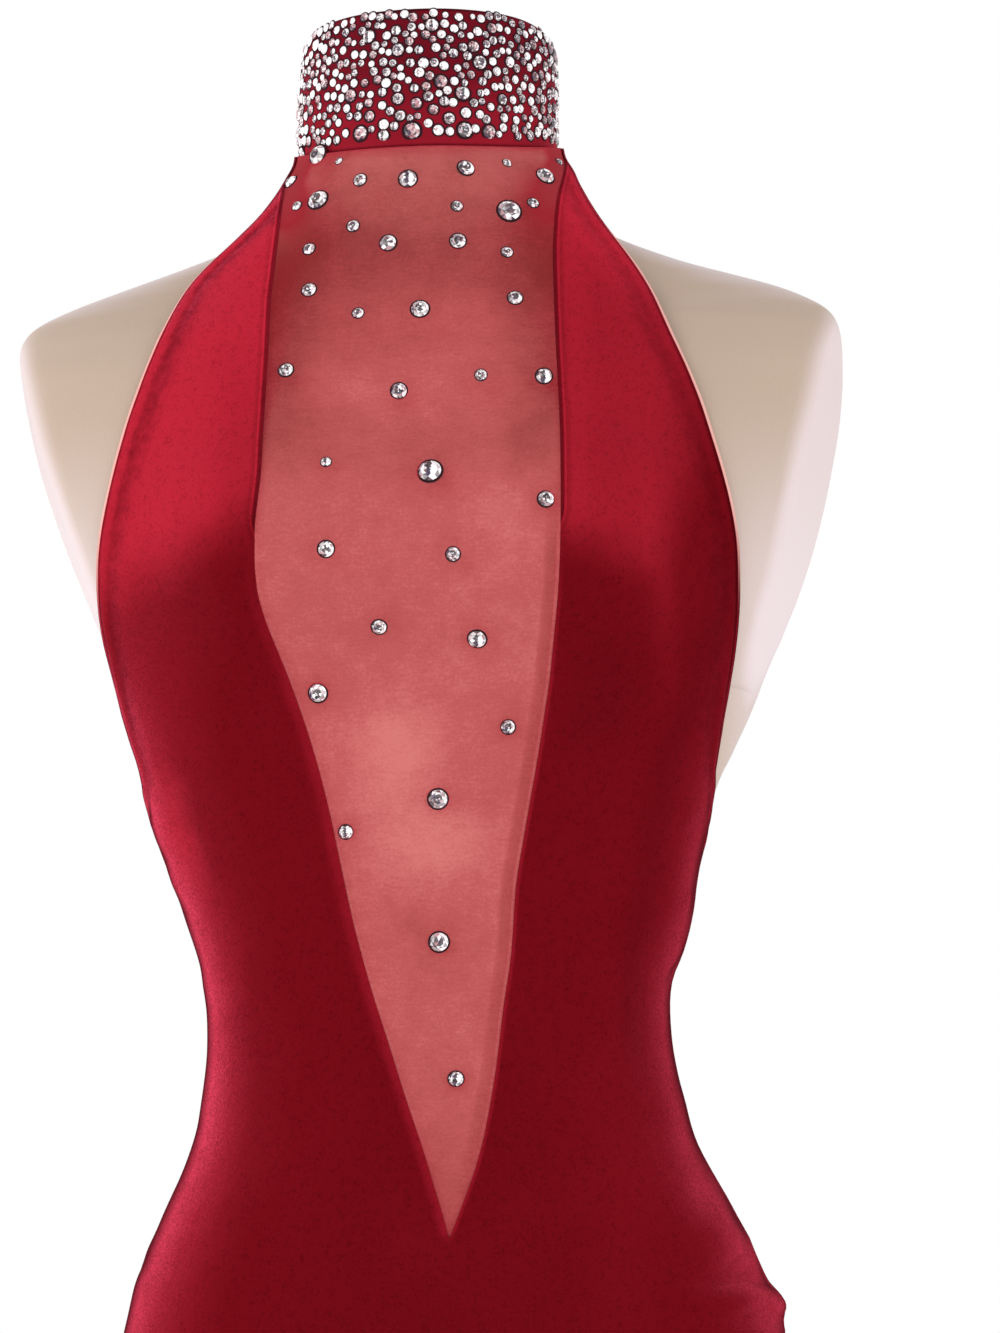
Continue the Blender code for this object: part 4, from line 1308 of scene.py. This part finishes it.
def collar_band():
    gap = math.radians(0.6)
    angle = np.linspace(-math.pi + gap, math.pi - gap, 241)[None, :]
    steps = np.concatenate([[0, 0.5, 1.1, 1.8, 2.6, 3.6], np.linspace(5, 60, 26)])
    low, high = collar_low(angle), collar_high(angle)
    tall = high - low
    share = np.concatenate([steps[:6] / 66.0, np.linspace(0.075, 0.925, 26), 1 - steps[5::-1] / 66.0])[:, None]
    height = low + tall * share
    angle = np.broadcast_to(angle, height.shape)
    edge = np.minimum(height - low, high - height)
    from_end = 61.0 * (math.pi - gap - np.abs(angle))
    relief = -0.7 * bump(edge, 0, 0.7) + 0.20 * bump(edge, 2.2, 1.3) - 0.16 * bump(edge, 4.8, 0.9)
    relief = relief - 0.7 * bump(from_end, 0, 0.9) + 0.16 * wander(height, 61 * angle, seed=41, size=45)
    place, normal = on_collar(angle, height), collar_normal(angle, height)
    outside = place + relief[..., None] * normal
    inside = place - (COLLAR_WALL - 0.3) * normal
    quads = grid_faces(*height.shape)
    all_points, all_faces = close_shell(outside.reshape(-1, 3), inside.reshape(-1, 3), quads)
    made = to_mesh("collar_band", all_points, all_faces.tolist(), sharp=70)
    # distance from the edges, for the painted shade along them
    dark_edge = np.minimum(high - height, 0.55 * (height - low) + 0.9).ravel()
    add_value(made, "hem", np.concatenate([dark_edge, dark_edge]))
    # where the stones crowd, for the painted shade between them
    shade_among_stones = smooth(10, 44, height - low) * 0.8 + 0.5 * smooth(0.9, 1.5, np.abs(angle)) * smooth(4, 12, height - low)
    shade_among_stones = np.clip(shade_among_stones, 0, 1).ravel()
    add_value(made, "shade_among_stones", np.concatenate([shade_among_stones, shade_among_stones]))
    return made


def stone_shape(rim):
    """A flat-backed round stone of radius 1 in its dark rim, which is the stone's foot and its painted shadow: points,
    faces, and each face's kind.
    """
    rings = []
    for radius, height, steps, offset in (
        (rim, 0.0, 16, 0.0),
        (1.0, 0.10, 16, 0.0),
        (0.76, 0.42, 8, 0.0),
        (0.54, 0.55, 8, 0.5),
        (0.25, 0.57, 8, 0.5),
    ):
        angle = 2 * math.pi * (np.arange(steps) + offset) / steps
        rings.append(np.stack([radius * np.cos(angle), radius * np.sin(angle), np.full(steps, height)], axis=-1))
    points = np.concatenate(rings + [np.array([[0.0, 0.0, 0.575]])])
    faces, kinds = [], []
    for i in range(16):
        faces.append((i, (i + 1) % 16, 16 + (i + 1) % 16, 16 + i))
        kinds.append(0)
    for i in range(8):
        this, after = 32 + i, 32 + (i + 1) % 8
        outer = [16 + (2 * i + k) % 16 for k in (-1, 0, 1)]
        faces += [(outer[0], outer[1], this), (outer[1], outer[2], this), (outer[2], after, this)]
        kinds += [1, 1, 2]
        table, before = 40 + i, 40 + (i - 1) % 8
        faces += [(this, after, table), (this, table, before)]
        kinds += [3, 3]
        faces.append((table, 40 + (i + 1) % 8, 48 + (i + 1) % 8, 48 + i))
        faces.append((48 + i, 48 + (i + 1) % 8, 56))
        kinds += [4, 4]
    faces.append(tuple(reversed(range(16))))
    kinds.append(0)
    return points, faces, kinds


# Colours of the painted reflections and glints on the stones' facets.
BRIGHT = ((0.97, 0.95, 0.97), (1.0, 0.97, 0.98), (0.95, 0.84, 0.87), (0.90, 0.90, 0.92), (1.0, 1.0, 1.0))
MIDDLE = (
    (0.42, 0.38, 0.40), (0.52, 0.34, 0.36), (0.30, 0.28, 0.30), (0.60, 0.52, 0.53), (0.44, 0.24, 0.26),
    (0.56, 0.53, 0.53), (0.34, 0.30, 0.31),
)
WARM = ((0.52, 0.26, 0.28), (0.60, 0.36, 0.38), (0.40, 0.16, 0.18), (0.46, 0.34, 0.34), (0.66, 0.46, 0.48))
DARK = ((0.030, 0.020, 0.024), (0.085, 0.055, 0.060), (0.060, 0.040, 0.085), (0.14, 0.08, 0.09), (0.10, 0.10, 0.11))


def facet_level(habit, u, v, kind, state):
    """How bright the painted reflection on a facet at (u, v) of a stone of radius 1 is, from 0 to 1, with u towards
    the lit side.
    """
    reach = math.hypot(u, v)
    if habit == "split":  # white on one side, a dark upright bar beside it, greys on the other
        if u > 0.13:
            return (0.88 if reach < 0.80 else 0.66) + state.normal(scale=0.15)
        if u > -0.30:
            return 0.08 + state.normal(scale=0.12)
        return (0.55 if u > -0.66 else 0.34) + state.normal(scale=0.20)
    if habit == "dark":  # dark in the middle within a paler rim, with a glint
        if reach < 0.46:
            return 1.0 if state.uniform() < 0.14 else 0.12 + state.normal(scale=0.14)
        return 0.49 + 0.30 * u + 0.12 * v + state.normal(scale=0.22)
    if habit == "white":
        return 0.80 + 0.26 * u + 0.08 * v + state.normal(scale=0.16)
    # "warm": dim, pinkish or brown, with a pale edge towards the light
    return 0.34 + 0.32 * u + 0.18 * v + state.normal(scale=0.16)


def stones(name, places, seed, habits, rim):
    """Joined stones from (point, outward normal, radius) rows. Each facet gets its own colour, a painted reflection
    brighter towards the lit side.
    """
    shape, faces, kinds = stone_shape(rim)
    state = np.random.RandomState(seed)
    all_points, all_faces, colours, feet = [], [], [], []
    names, shares = [h[0] for h in habits], np.cumsum([h[1] for h in habits])
    for point, normal, radius in places:
        normal = np.asarray(normal, float) + state.normal(scale=0.03, size=3)
        normal /= np.linalg.norm(normal)
        side = np.cross([0.0, 0.0, 1.0], normal)
        side /= np.linalg.norm(side)
        upward = np.cross(normal, side)
        habit = names[int(np.searchsorted(shares, state.uniform(0, shares[-1])))]
        spin = state.normal(scale=0.06) if habit == "split" else state.uniform(0, 2 * math.pi)
        one = side * math.cos(spin) + upward * math.sin(spin)
        two = -side * math.sin(spin) + upward * math.cos(spin)
        placed = point + radius * (shape[:, :1] * one + shape[:, 1:2] * two + 0.9 * shape[:, 2:] * normal)
        start = len(all_points) * len(shape)
        all_points.append(placed)
        # the side towards which the painted reflections are brightest
        lit = state.normal(scale=0.10 if habit == "split" else 0.35) - 0.10
        for face, kind in zip(faces, kinds):
            all_faces.append(tuple(start + k for k in face))
            # the dark rim, foot and painted shadow, takes the second material
            feet.append(1 if kind == 0 else 0)
            if kind == 0:
                colours.append(np.array((0.022, 0.008, 0.012)) * state.uniform(0.8, 1.5))
                continue
            middle = shape[list(face)].mean(axis=0)
            direction = middle[0] * one + middle[1] * two
            u = direction @ (side * math.cos(lit) + upward * math.sin(lit))
            v = direction @ (-side * math.sin(lit) + upward * math.cos(lit))
            level = facet_level(habit, u, v, kind, state)
            family = BRIGHT if level > 0.64 else (MIDDLE if level > 0.28 else DARK)
            if habit == "warm" and family is MIDDLE:
                family = WARM
            tone = np.array(family[state.randint(len(family))])
            colours.append(np.clip(tone * state.uniform(0.90, 1.06), 0, 1))
    made = to_mesh(name, np.concatenate(all_points), all_faces, smooth_shading=False)
    made.data.polygons.foreach_set("material_index", feet)
    facet = made.data.attributes.new("facet", "FLOAT_COLOR", "FACE")
    facet.data.foreach_set("color", np.column_stack([colours, np.ones(len(colours))]).astype(np.float32).ravel())
    return made


# Sizes of the stones on the collar: radius (mm), how many are tried, clear space around.
STONE_SIZES = [
    (3.5, 14, 0.60),
    (2.9, 44, 0.50),
    (2.45, 260, 0.40),
    (2.05, 620, 0.34),
    (1.60, 700, 0.30),
]
COLLAR_HABITS = [("white", 0.40), ("dark", 0.30), ("warm", 0.20), ("split", 0.10)]
SCATTER_HABITS = {"high": [("dark", 0.78), ("split", 0.22)], "low": [("split", 0.62), ("dark", 0.38)]}
# The chief stones on the front of the collar, listed as: across and down from the picture's
# point (270, 0) and width, all in steps of a third of a picture point.
COLLAR_FRONT = [
    (375, 50, 22), (430, 52, 30), (528, 45, 20), (610, 50, 18), (340, 78, 22), (380, 92, 32), (250, 82, 24),
    (298, 110, 42), (487, 75, 42), (434, 105, 22), (575, 105, 22), (625, 95, 30), (668, 85, 34), (715, 92, 24),
    (750, 95, 24), (783, 95, 22), (800, 118, 20), (165, 148, 34), (203, 128, 22), (253, 130, 20), (345, 133, 20),
    (385, 150, 40), (448, 150, 28), (490, 118, 22), (541, 118, 26), (552, 160, 30), (613, 140, 36), (652, 133, 26),
    (683, 162, 26), (725, 135, 24), (775, 140, 28), (815, 150, 24), (130, 190, 28), (197, 175, 28), (230, 190, 26),
    (275, 190, 22), (310, 165, 26), (313, 215, 28), (370, 190, 24), (462, 190, 34), (450, 218, 32), (524, 198, 30),
    (565, 205, 24), (632, 188, 44), (683, 215, 30), (722, 187, 36), (762, 185, 26), (795, 190, 24), (840, 190, 28),
    (108, 220, 24), (143, 220, 22), (175, 218, 22), (165, 252, 34), (215, 230, 22), (255, 220, 24), (285, 250, 26),
    (350, 250, 32), (395, 230, 26), (515, 245, 40), (605, 225, 26), (640, 245, 28), (710, 240, 26), (738, 240, 28),
    (677, 262, 26), (770, 235, 22), (815, 225, 30), (850, 235, 26), (105, 260, 26), (130, 285, 30), (193, 290, 28),
    (243, 288, 40), (303, 285, 24), (385, 297, 36), (435, 265, 28), (477, 290, 32), (525, 305, 32), (580, 280, 46),
    (635, 280, 24), (700, 300, 34), (750, 275, 24), (785, 305, 30), (810, 275, 26), (840, 285, 36), (105, 302, 32),
    (150, 320, 24), (203, 325, 30), (270, 320, 26), (300, 350, 34), (338, 318, 28), (392, 348, 34), (440, 312, 36),
    (492, 330, 32), (540, 357, 36), (590, 340, 34), (632, 345, 28), (665, 322, 26), (705, 355, 30), (740, 330, 24),
    (765, 355, 24), (820, 330, 30), (110, 350, 30), (135, 358, 24), (165, 350, 24), (207, 370, 26), (240, 350, 24),
    (343, 375, 34), (785, 358, 22), (825, 362, 28), (100, 395, 30), (130, 390, 26), (160, 395, 26), (188, 400, 22),
    (228, 402, 28), (273, 402, 46), (342, 408, 36), (428, 394, 52), (507, 392, 34), (587, 392, 48), (660, 398, 44),
    (737, 388, 28), (766, 392, 26), (805, 398, 34), (838, 397, 28),
]


def collar_stones(band):
    """Stones set closely over the collar, all round, above its bare lower band."""
    state = np.random.RandomState(17)
    around, rows, placed = 61.0, [], []
    tree = search_tree(band)
    for x, y, width in COLLAR_FRONT:
        hit, normal, _, _ = tree.ray_cast(eye, through(270.0 + 0.332 * x, 0.332 * y))
        if hit is None:
            continue
        point = 1000.0 * np.array(hit)
        radius = 0.5 * 0.332 * width * 0.47 * 0.93
        placed.append((around * math.atan2(point[0] - 0.9, -point[1]), point[2], radius))
        rows.append((point + 0.05 * np.array(normal), np.array(normal), radius))
    placed = np.array(placed)
    for radius, wanted, space in STONE_SIZES:
        made = 0
        for _ in range(9000):
            if made >= wanted:
                break
            angle = state.uniform(-math.pi + 0.06, math.pi - 0.06)
            edge_on = 0.98 < abs(angle) < 1.62
            if radius > 2.3 and abs(angle) < 0.98 or edge_on and radius < 2.0 and state.uniform() < 0.8:
                continue
            turn = min(1.0, abs(angle) / 1.5)
            low, high = collar_low(angle) + 5.4 - 3.2 * turn, collar_high(angle) + 0.1
            height = state.uniform(low + radius, high - radius)
            above = height - collar_low(angle)
            if above < 34 and state.uniform() > 0.16 + 0.84 * turn + 0.022 * max(above - 14, 0):
                continue
            s = around * angle
            gap = np.hypot(placed[:, 0] - s, placed[:, 1] - height) - placed[:, 2] - radius
            if gap.min() < space:
                continue
            placed = np.vstack([placed, (s, height, radius)])
            made += 1
            point, normal = on_collar(np.array(angle), height), collar_normal(np.array(angle), height)
            rows.append((point + 0.05 * normal, normal, radius))
    return stones("collar_stones", rows, 23, COLLAR_HABITS, 1.36)


def search_tree(obj):
    return BVHTree.FromPolygons(
        [v.co.copy() for v in obj.data.vertices], [tuple(p.vertices) for p in obj.data.polygons]
    )


def stone_radius(width):
    return 0.5 * width * 0.485


def stone_spots(obj):
    """Where the scattered stones lie on one piece: (point in mm, radius)."""
    tree = search_tree(obj)
    spots = []
    for px, py, width in SCATTERED:
        hit = tree.ray_cast(eye, through(px, py))[0]
        if hit is not None:
            spots.append((1000.0 * np.array(hit), stone_radius(width)))
    return spots


def scattered_stones(name, carriers, from_y, to_y, habits, seed):
    trees = [search_tree(obj) for obj in carriers]
    rows = []
    for px, py, width in SCATTERED:
        if not from_y <= py < to_y:
            continue
        ray = through(px, py)
        best = None
        for tree in trees:
            hit, normal, _, distance = tree.ray_cast(eye, ray)
            if hit is not None and (best is None or distance < best[2]):
                best = (hit, normal, distance)
        if best is None:
            print("no place for the stone at", px, py)
            continue
        hit, normal, _ = best
        normal = normal if normal.dot(ray) < 0 else -normal
        rows.append((1000.0 * np.array(hit) + 0.05 * np.array(normal), np.array(normal), stone_radius(width)))
    return stones(name, rows, seed, habits, 1.20)


# ---------------------------------------------------------------- the form
def torso_cover():
    """The form's knitted cover: the solid's own sections in fine steps, its arm plates softly rounded."""
    z = spread(FORM_BOTTOM, (FORM_BOTTOM + 3, 2), (1130, 90), (1345, 96), (1415, 50), (NECK_TOP, 24))
    rows, plates = [], []
    round_off = 9.0
    for level in z:
        _, x, y = half_section(TORSO, level, FORM_BRIDGE, 1441)
        limit = float(between(PLATE, 1, level)) + y * math.tan(PLATE_FACES_FRONT)
        near_plate = 1120 < level < 1372
        blend = np.clip(0.5 + 0.5 * (limit - x) / round_off, 0, 1)
        rounded = limit * (1 - blend) + x * blend - round_off * blend * (1 - blend)
        cut = rounded if near_plate else x
        girth = np.concatenate([[0], np.cumsum(np.hypot(np.diff(cut), np.diff(y)))])
        widest = int(np.argmax(x))
        over = np.nonzero(x > limit)[0] if near_plate else []
        first, last = girth[widest] - 9, girth[widest] + 9
        if len(over):
            first, last = min(first, girth[over[0]] - 5), max(last, girth[over[-1]] + 5)
        first_in, last_in = first + 11, last - 11
        stops = np.concatenate(
            [
                np.linspace(0, first, 54)[:-1],
                np.linspace(first, max(first_in, 0.5 * (first + last) - 0.1), 9)[:-1],
                np.linspace(max(first_in, 0.5 * (first + last) - 0.1), min(last_in, 0.5 * (first + last) + 0.1), 13)[:-1]
                if last_in > first_in
                else np.linspace(0.5 * (first + last) - 0.1, 0.5 * (first + last) + 0.1, 13)[:-1],
                np.linspace(min(last_in, 0.5 * (first + last) + 0.1) if last_in > first_in else 0.5 * (first + last) + 0.1, last, 9)[:-1],
                np.linspace(last, girth[-1], 48),
            ]
        )
        stops = np.maximum.accumulate(stops)
        px, py = np.interp(stops, girth, cut), np.interp(stops, girth, y)
        if level in (FORM_BOTTOM, NECK_TOP):
            px, py = 0.985 * px, 0.985 * py
        rows.append(np.stack([px, py, np.full_like(px, level)], axis=-1))
        over_by = np.interp(stops, girth, x - limit) if near_plate else np.full_like(stops, -60.0)
        plates.append(over_by)
    half = np.array(rows)
    seamless = half.copy()
    for _ in range(3):
        seamless[1:-1, 1:-1] = 0.5 * seamless[1:-1, 1:-1] + 0.125 * (
            seamless[:-2, 1:-1] + seamless[2:, 1:-1] + seamless[1:-1, :-2] + seamless[1:-1, 2:]
        )
    weight = (smooth(1346, 1360, half[..., 2]) * (1 - smooth(1440, 1470, half[..., 2])))[..., None]
    half = half + weight * (seamless - half)
    mirrored = half[:, -2:0:-1].copy()
    mirrored[..., 0] *= -1
    ring = np.concatenate([half, mirrored], axis=1)
    away = np.abs(ring[..., 0])
    near_side = smooth(95, 150, away)
    for side, trim in FORM_TRIM.items():
        ring[..., 0] += (ring[..., 0] * side > 0) * near_side * between(trim, 1, ring[..., 2]) * side
    ring[..., 2] -= 2.2 * np.exp(-(((ring[..., 0] - 122) / 34) ** 2)) * smooth(1352, 1368, ring[..., 2]) * (
        1 - smooth(1400, 1412, ring[..., 2])
    )
    over_by = np.array(plates)
    over_by = np.concatenate([over_by, over_by[:, -2:0:-1]], axis=1)
    ring_count = ring.shape[1]
    quads = grid_faces(len(z), ring_count, wrap=True)
    points = ring.reshape(-1, 3)
    faces = quads.tolist()
    faces.append(list(range(ring_count))[::-1])
    faces.append([len(points) - ring_count + j for j in range(ring_count)])
    made = to_mesh("torso_cover", points, faces, sharp=34)
    # seam of the cover at centre back
    add_value(made, "seam", np.clip(np.abs(ring[..., 0]) + 60 * (ring[..., 1] < 0), 0, 60))
    across_ = np.roll(ring, -1, axis=1) - np.roll(ring, 1, axis=1)
    upward = np.gradient(ring, axis=0)
    out = np.cross(across_, upward)
    rise = out[..., 2] / np.maximum(np.linalg.norm(out, axis=-1), 1e-9)
    level = ring[..., 2]
    # painted light: whiter over the arm plates, on the shoulder tops that face up, and low on the sides
    painted_cover_light = smooth(-10.0, 4.5, over_by) * (0.72 + 0.28 * (1 - smooth(1180, 1330, level)))
    painted_cover_light = np.maximum(painted_cover_light, 0.75 * smooth(0.72, 0.97, rise) * smooth(1300, 1340, level))
    lower = (1 - smooth(1205, 1318, level)) * smooth(120, 165, np.abs(ring[..., 0]))
    painted_cover_light = np.maximum(painted_cover_light, 0.62 * lower)
    add_value(made, "painted_cover_light", np.clip(painted_cover_light, 0, 1))
    return made


# ---------------------------------------------------------------- putting it together
velvet = velvet_material("velvet_red")
sheer = mesh_material("mesh_red")
collar_cloth = collar_material("collar_red")
glass = stone_material("clear_stones")
setting = setting_material("stone_settings")
cream = form_material("form_cream")


def dress_up(obj, materials, nodes):
    feet = [face.material_index for face in obj.data.polygons] if len(materials) > 1 else None
    obj.data.materials.clear()
    for material in materials:
        obj.data.materials.append(material)
    if feet:
        obj.data.polygons.foreach_set("material_index", feet)
    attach(obj, "root")
    if nodes:
        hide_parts(*nodes)
    return obj


front = dress_up(velvet_front(), [velvet], ["front_panel"])
rear = dress_up(velvet_back(), [velvet], ["back_panel"])
insert = dress_up(sheer_insert(), [sheer], ["mesh_insert"])
band = dress_up(collar_band(), [collar_cloth], ["collar"])
cover = dress_up(torso_cover(), [cream], ["form_torso"])
collar_set = dress_up(collar_stones(band), [glass, setting], [])
upper_set = dress_up(
    scattered_stones("insert_stones_upper", [insert, front, band], 0, 430, SCATTER_HABITS["high"], 29),
    [glass, setting], [],
)
lower_set = dress_up(
    scattered_stones("insert_stones_lower", [insert, front, band], 430, 1333, SCATTER_HABITS["low"], 31),
    [glass, setting], [],
)

nickel = metal_material("hook_steel", (0.64, 0.64, 0.65), 0.24, False)
upright = metal_material("stand_metal_pole", (0.62, 0.62, 0.63), 0.26, False)
round_metal = metal_material("stand_metal_round", (0.60, 0.60, 0.61), 0.30, True)
for node, material in (
    ("neck_hook_upper", nickel),
    ("neck_hook_lower", nickel),
    ("form_neck_cap", wood_material("cap_wood")),
    ("pole", upright),
    ("pole_flange", round_metal),
    ("base_plate", round_metal),
):
    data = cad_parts[node].data
    data.materials.clear()
    data.materials.append(material)

# ---------------------------------------------------------------- floor, world and lights
floor_mesh = bpy.data.meshes.new("floor")
floor_mesh.from_pydata([(-30, -30, 0), (30, -30, 0), (30, 30, 0), (-30, 30, 0)], [], [(0, 1, 2, 3)])
floor = bpy.data.objects.new("floor", floor_mesh)
bpy.context.scene.collection.objects.link(floor)
pale = Nodes("floor_pale")
tint = pale.noise(pale.place((0.001, 0.001, 0.001)), 0.4, 2.0)
pale.set(Base_Color=pale.mix(pale.math("MULTIPLY", tint, 0.3), (0.86, 0.86, 0.86), (0.82, 0.82, 0.82)))
pale.shader.inputs["Roughness"].default_value = 0.8
apart = pale.new("ShaderNodeVectorMath", operation="LENGTH")
pale.link(pale.new("ShaderNodeTexCoord").outputs["Object"], apart.inputs[0])
away = pale.ramp(pale.math("DIVIDE", apart.outputs["Value"], 10.0), [(0.0, 0.0), (0.055, 0.0), (0.165, 1.0)], "EASE")
haze = pale.new("ShaderNodeEmission", Color=(1.0, 1.0, 1.0, 1.0))
blend = pale.new("ShaderNodeMixShader")
pale.link(away, blend.inputs[0])
pale.link(pale.shader.outputs[0], blend.inputs[1])
pale.link(haze.outputs[0], blend.inputs[2])
pale.link(blend.outputs[0], pale.output.inputs[0])
floor_mesh.materials.append(pale.material)

world = bpy.data.worlds.new("studio")
bpy.context.scene.world = world
world.use_nodes = True
tree = world.node_tree
sky = tree.nodes["Background"]
sky.inputs["Color"].default_value = (1.0, 1.0, 1.0, 1.0)
seen = tree.nodes.new("ShaderNodeBackground")
seen.inputs["Color"].default_value = (1.0, 1.0, 1.0, 1.0)
seen.inputs["Strength"].default_value = 1.0
sky.inputs["Strength"].default_value = 0.60
light_path = tree.nodes.new("ShaderNodeLightPath")
chooser = tree.nodes.new("ShaderNodeMixShader")
tree.links.new(light_path.outputs["Is Camera Ray"], chooser.inputs[0])
tree.links.new(sky.outputs[0], chooser.inputs[1])
tree.links.new(seen.outputs[0], chooser.inputs[2])
tree.links.new(chooser.outputs[0], tree.nodes["World Output"].inputs[0])


def area_light(name, place, aim, size, power, colour=(1, 1, 1)):
    data = bpy.data.lights.new(name, "AREA")
    data.shape = "RECTANGLE"
    data.size, data.size_y = size
    data.energy = power
    data.color = colour
    made = bpy.data.objects.new(name, data)
    bpy.context.scene.collection.objects.link(made)
    place, aim = Vector(place), Vector(aim)
    made.location = place
    made.rotation_mode = "QUATERNION"
    made.rotation_quaternion = (aim - place).to_track_quat("-Z", "Y")
    made.visible_camera = False
    return made


area_light("key", (-1.7, -2.3, 2.6), (0.0, 0.0, 1.15), (1.8, 1.8), 26)
area_light("fill", (1.8, -2.4, 1.7), (0.0, 0.0, 1.1), (1.8, 2.2), 15)
area_light("left_strip", (-2.2, 0.1, 1.0), (0.0, 0.0, 1.1), (0.9, 2.2), 24)
area_light("right_strip", (2.2, 0.1, 1.0), (0.0, 0.0, 1.1), (0.9, 2.2), 14)

bpy.context.scene.view_settings.view_transform = "Standard"
bpy.context.scene.view_settings.look = "None"

bpy.context.view_layer.update()
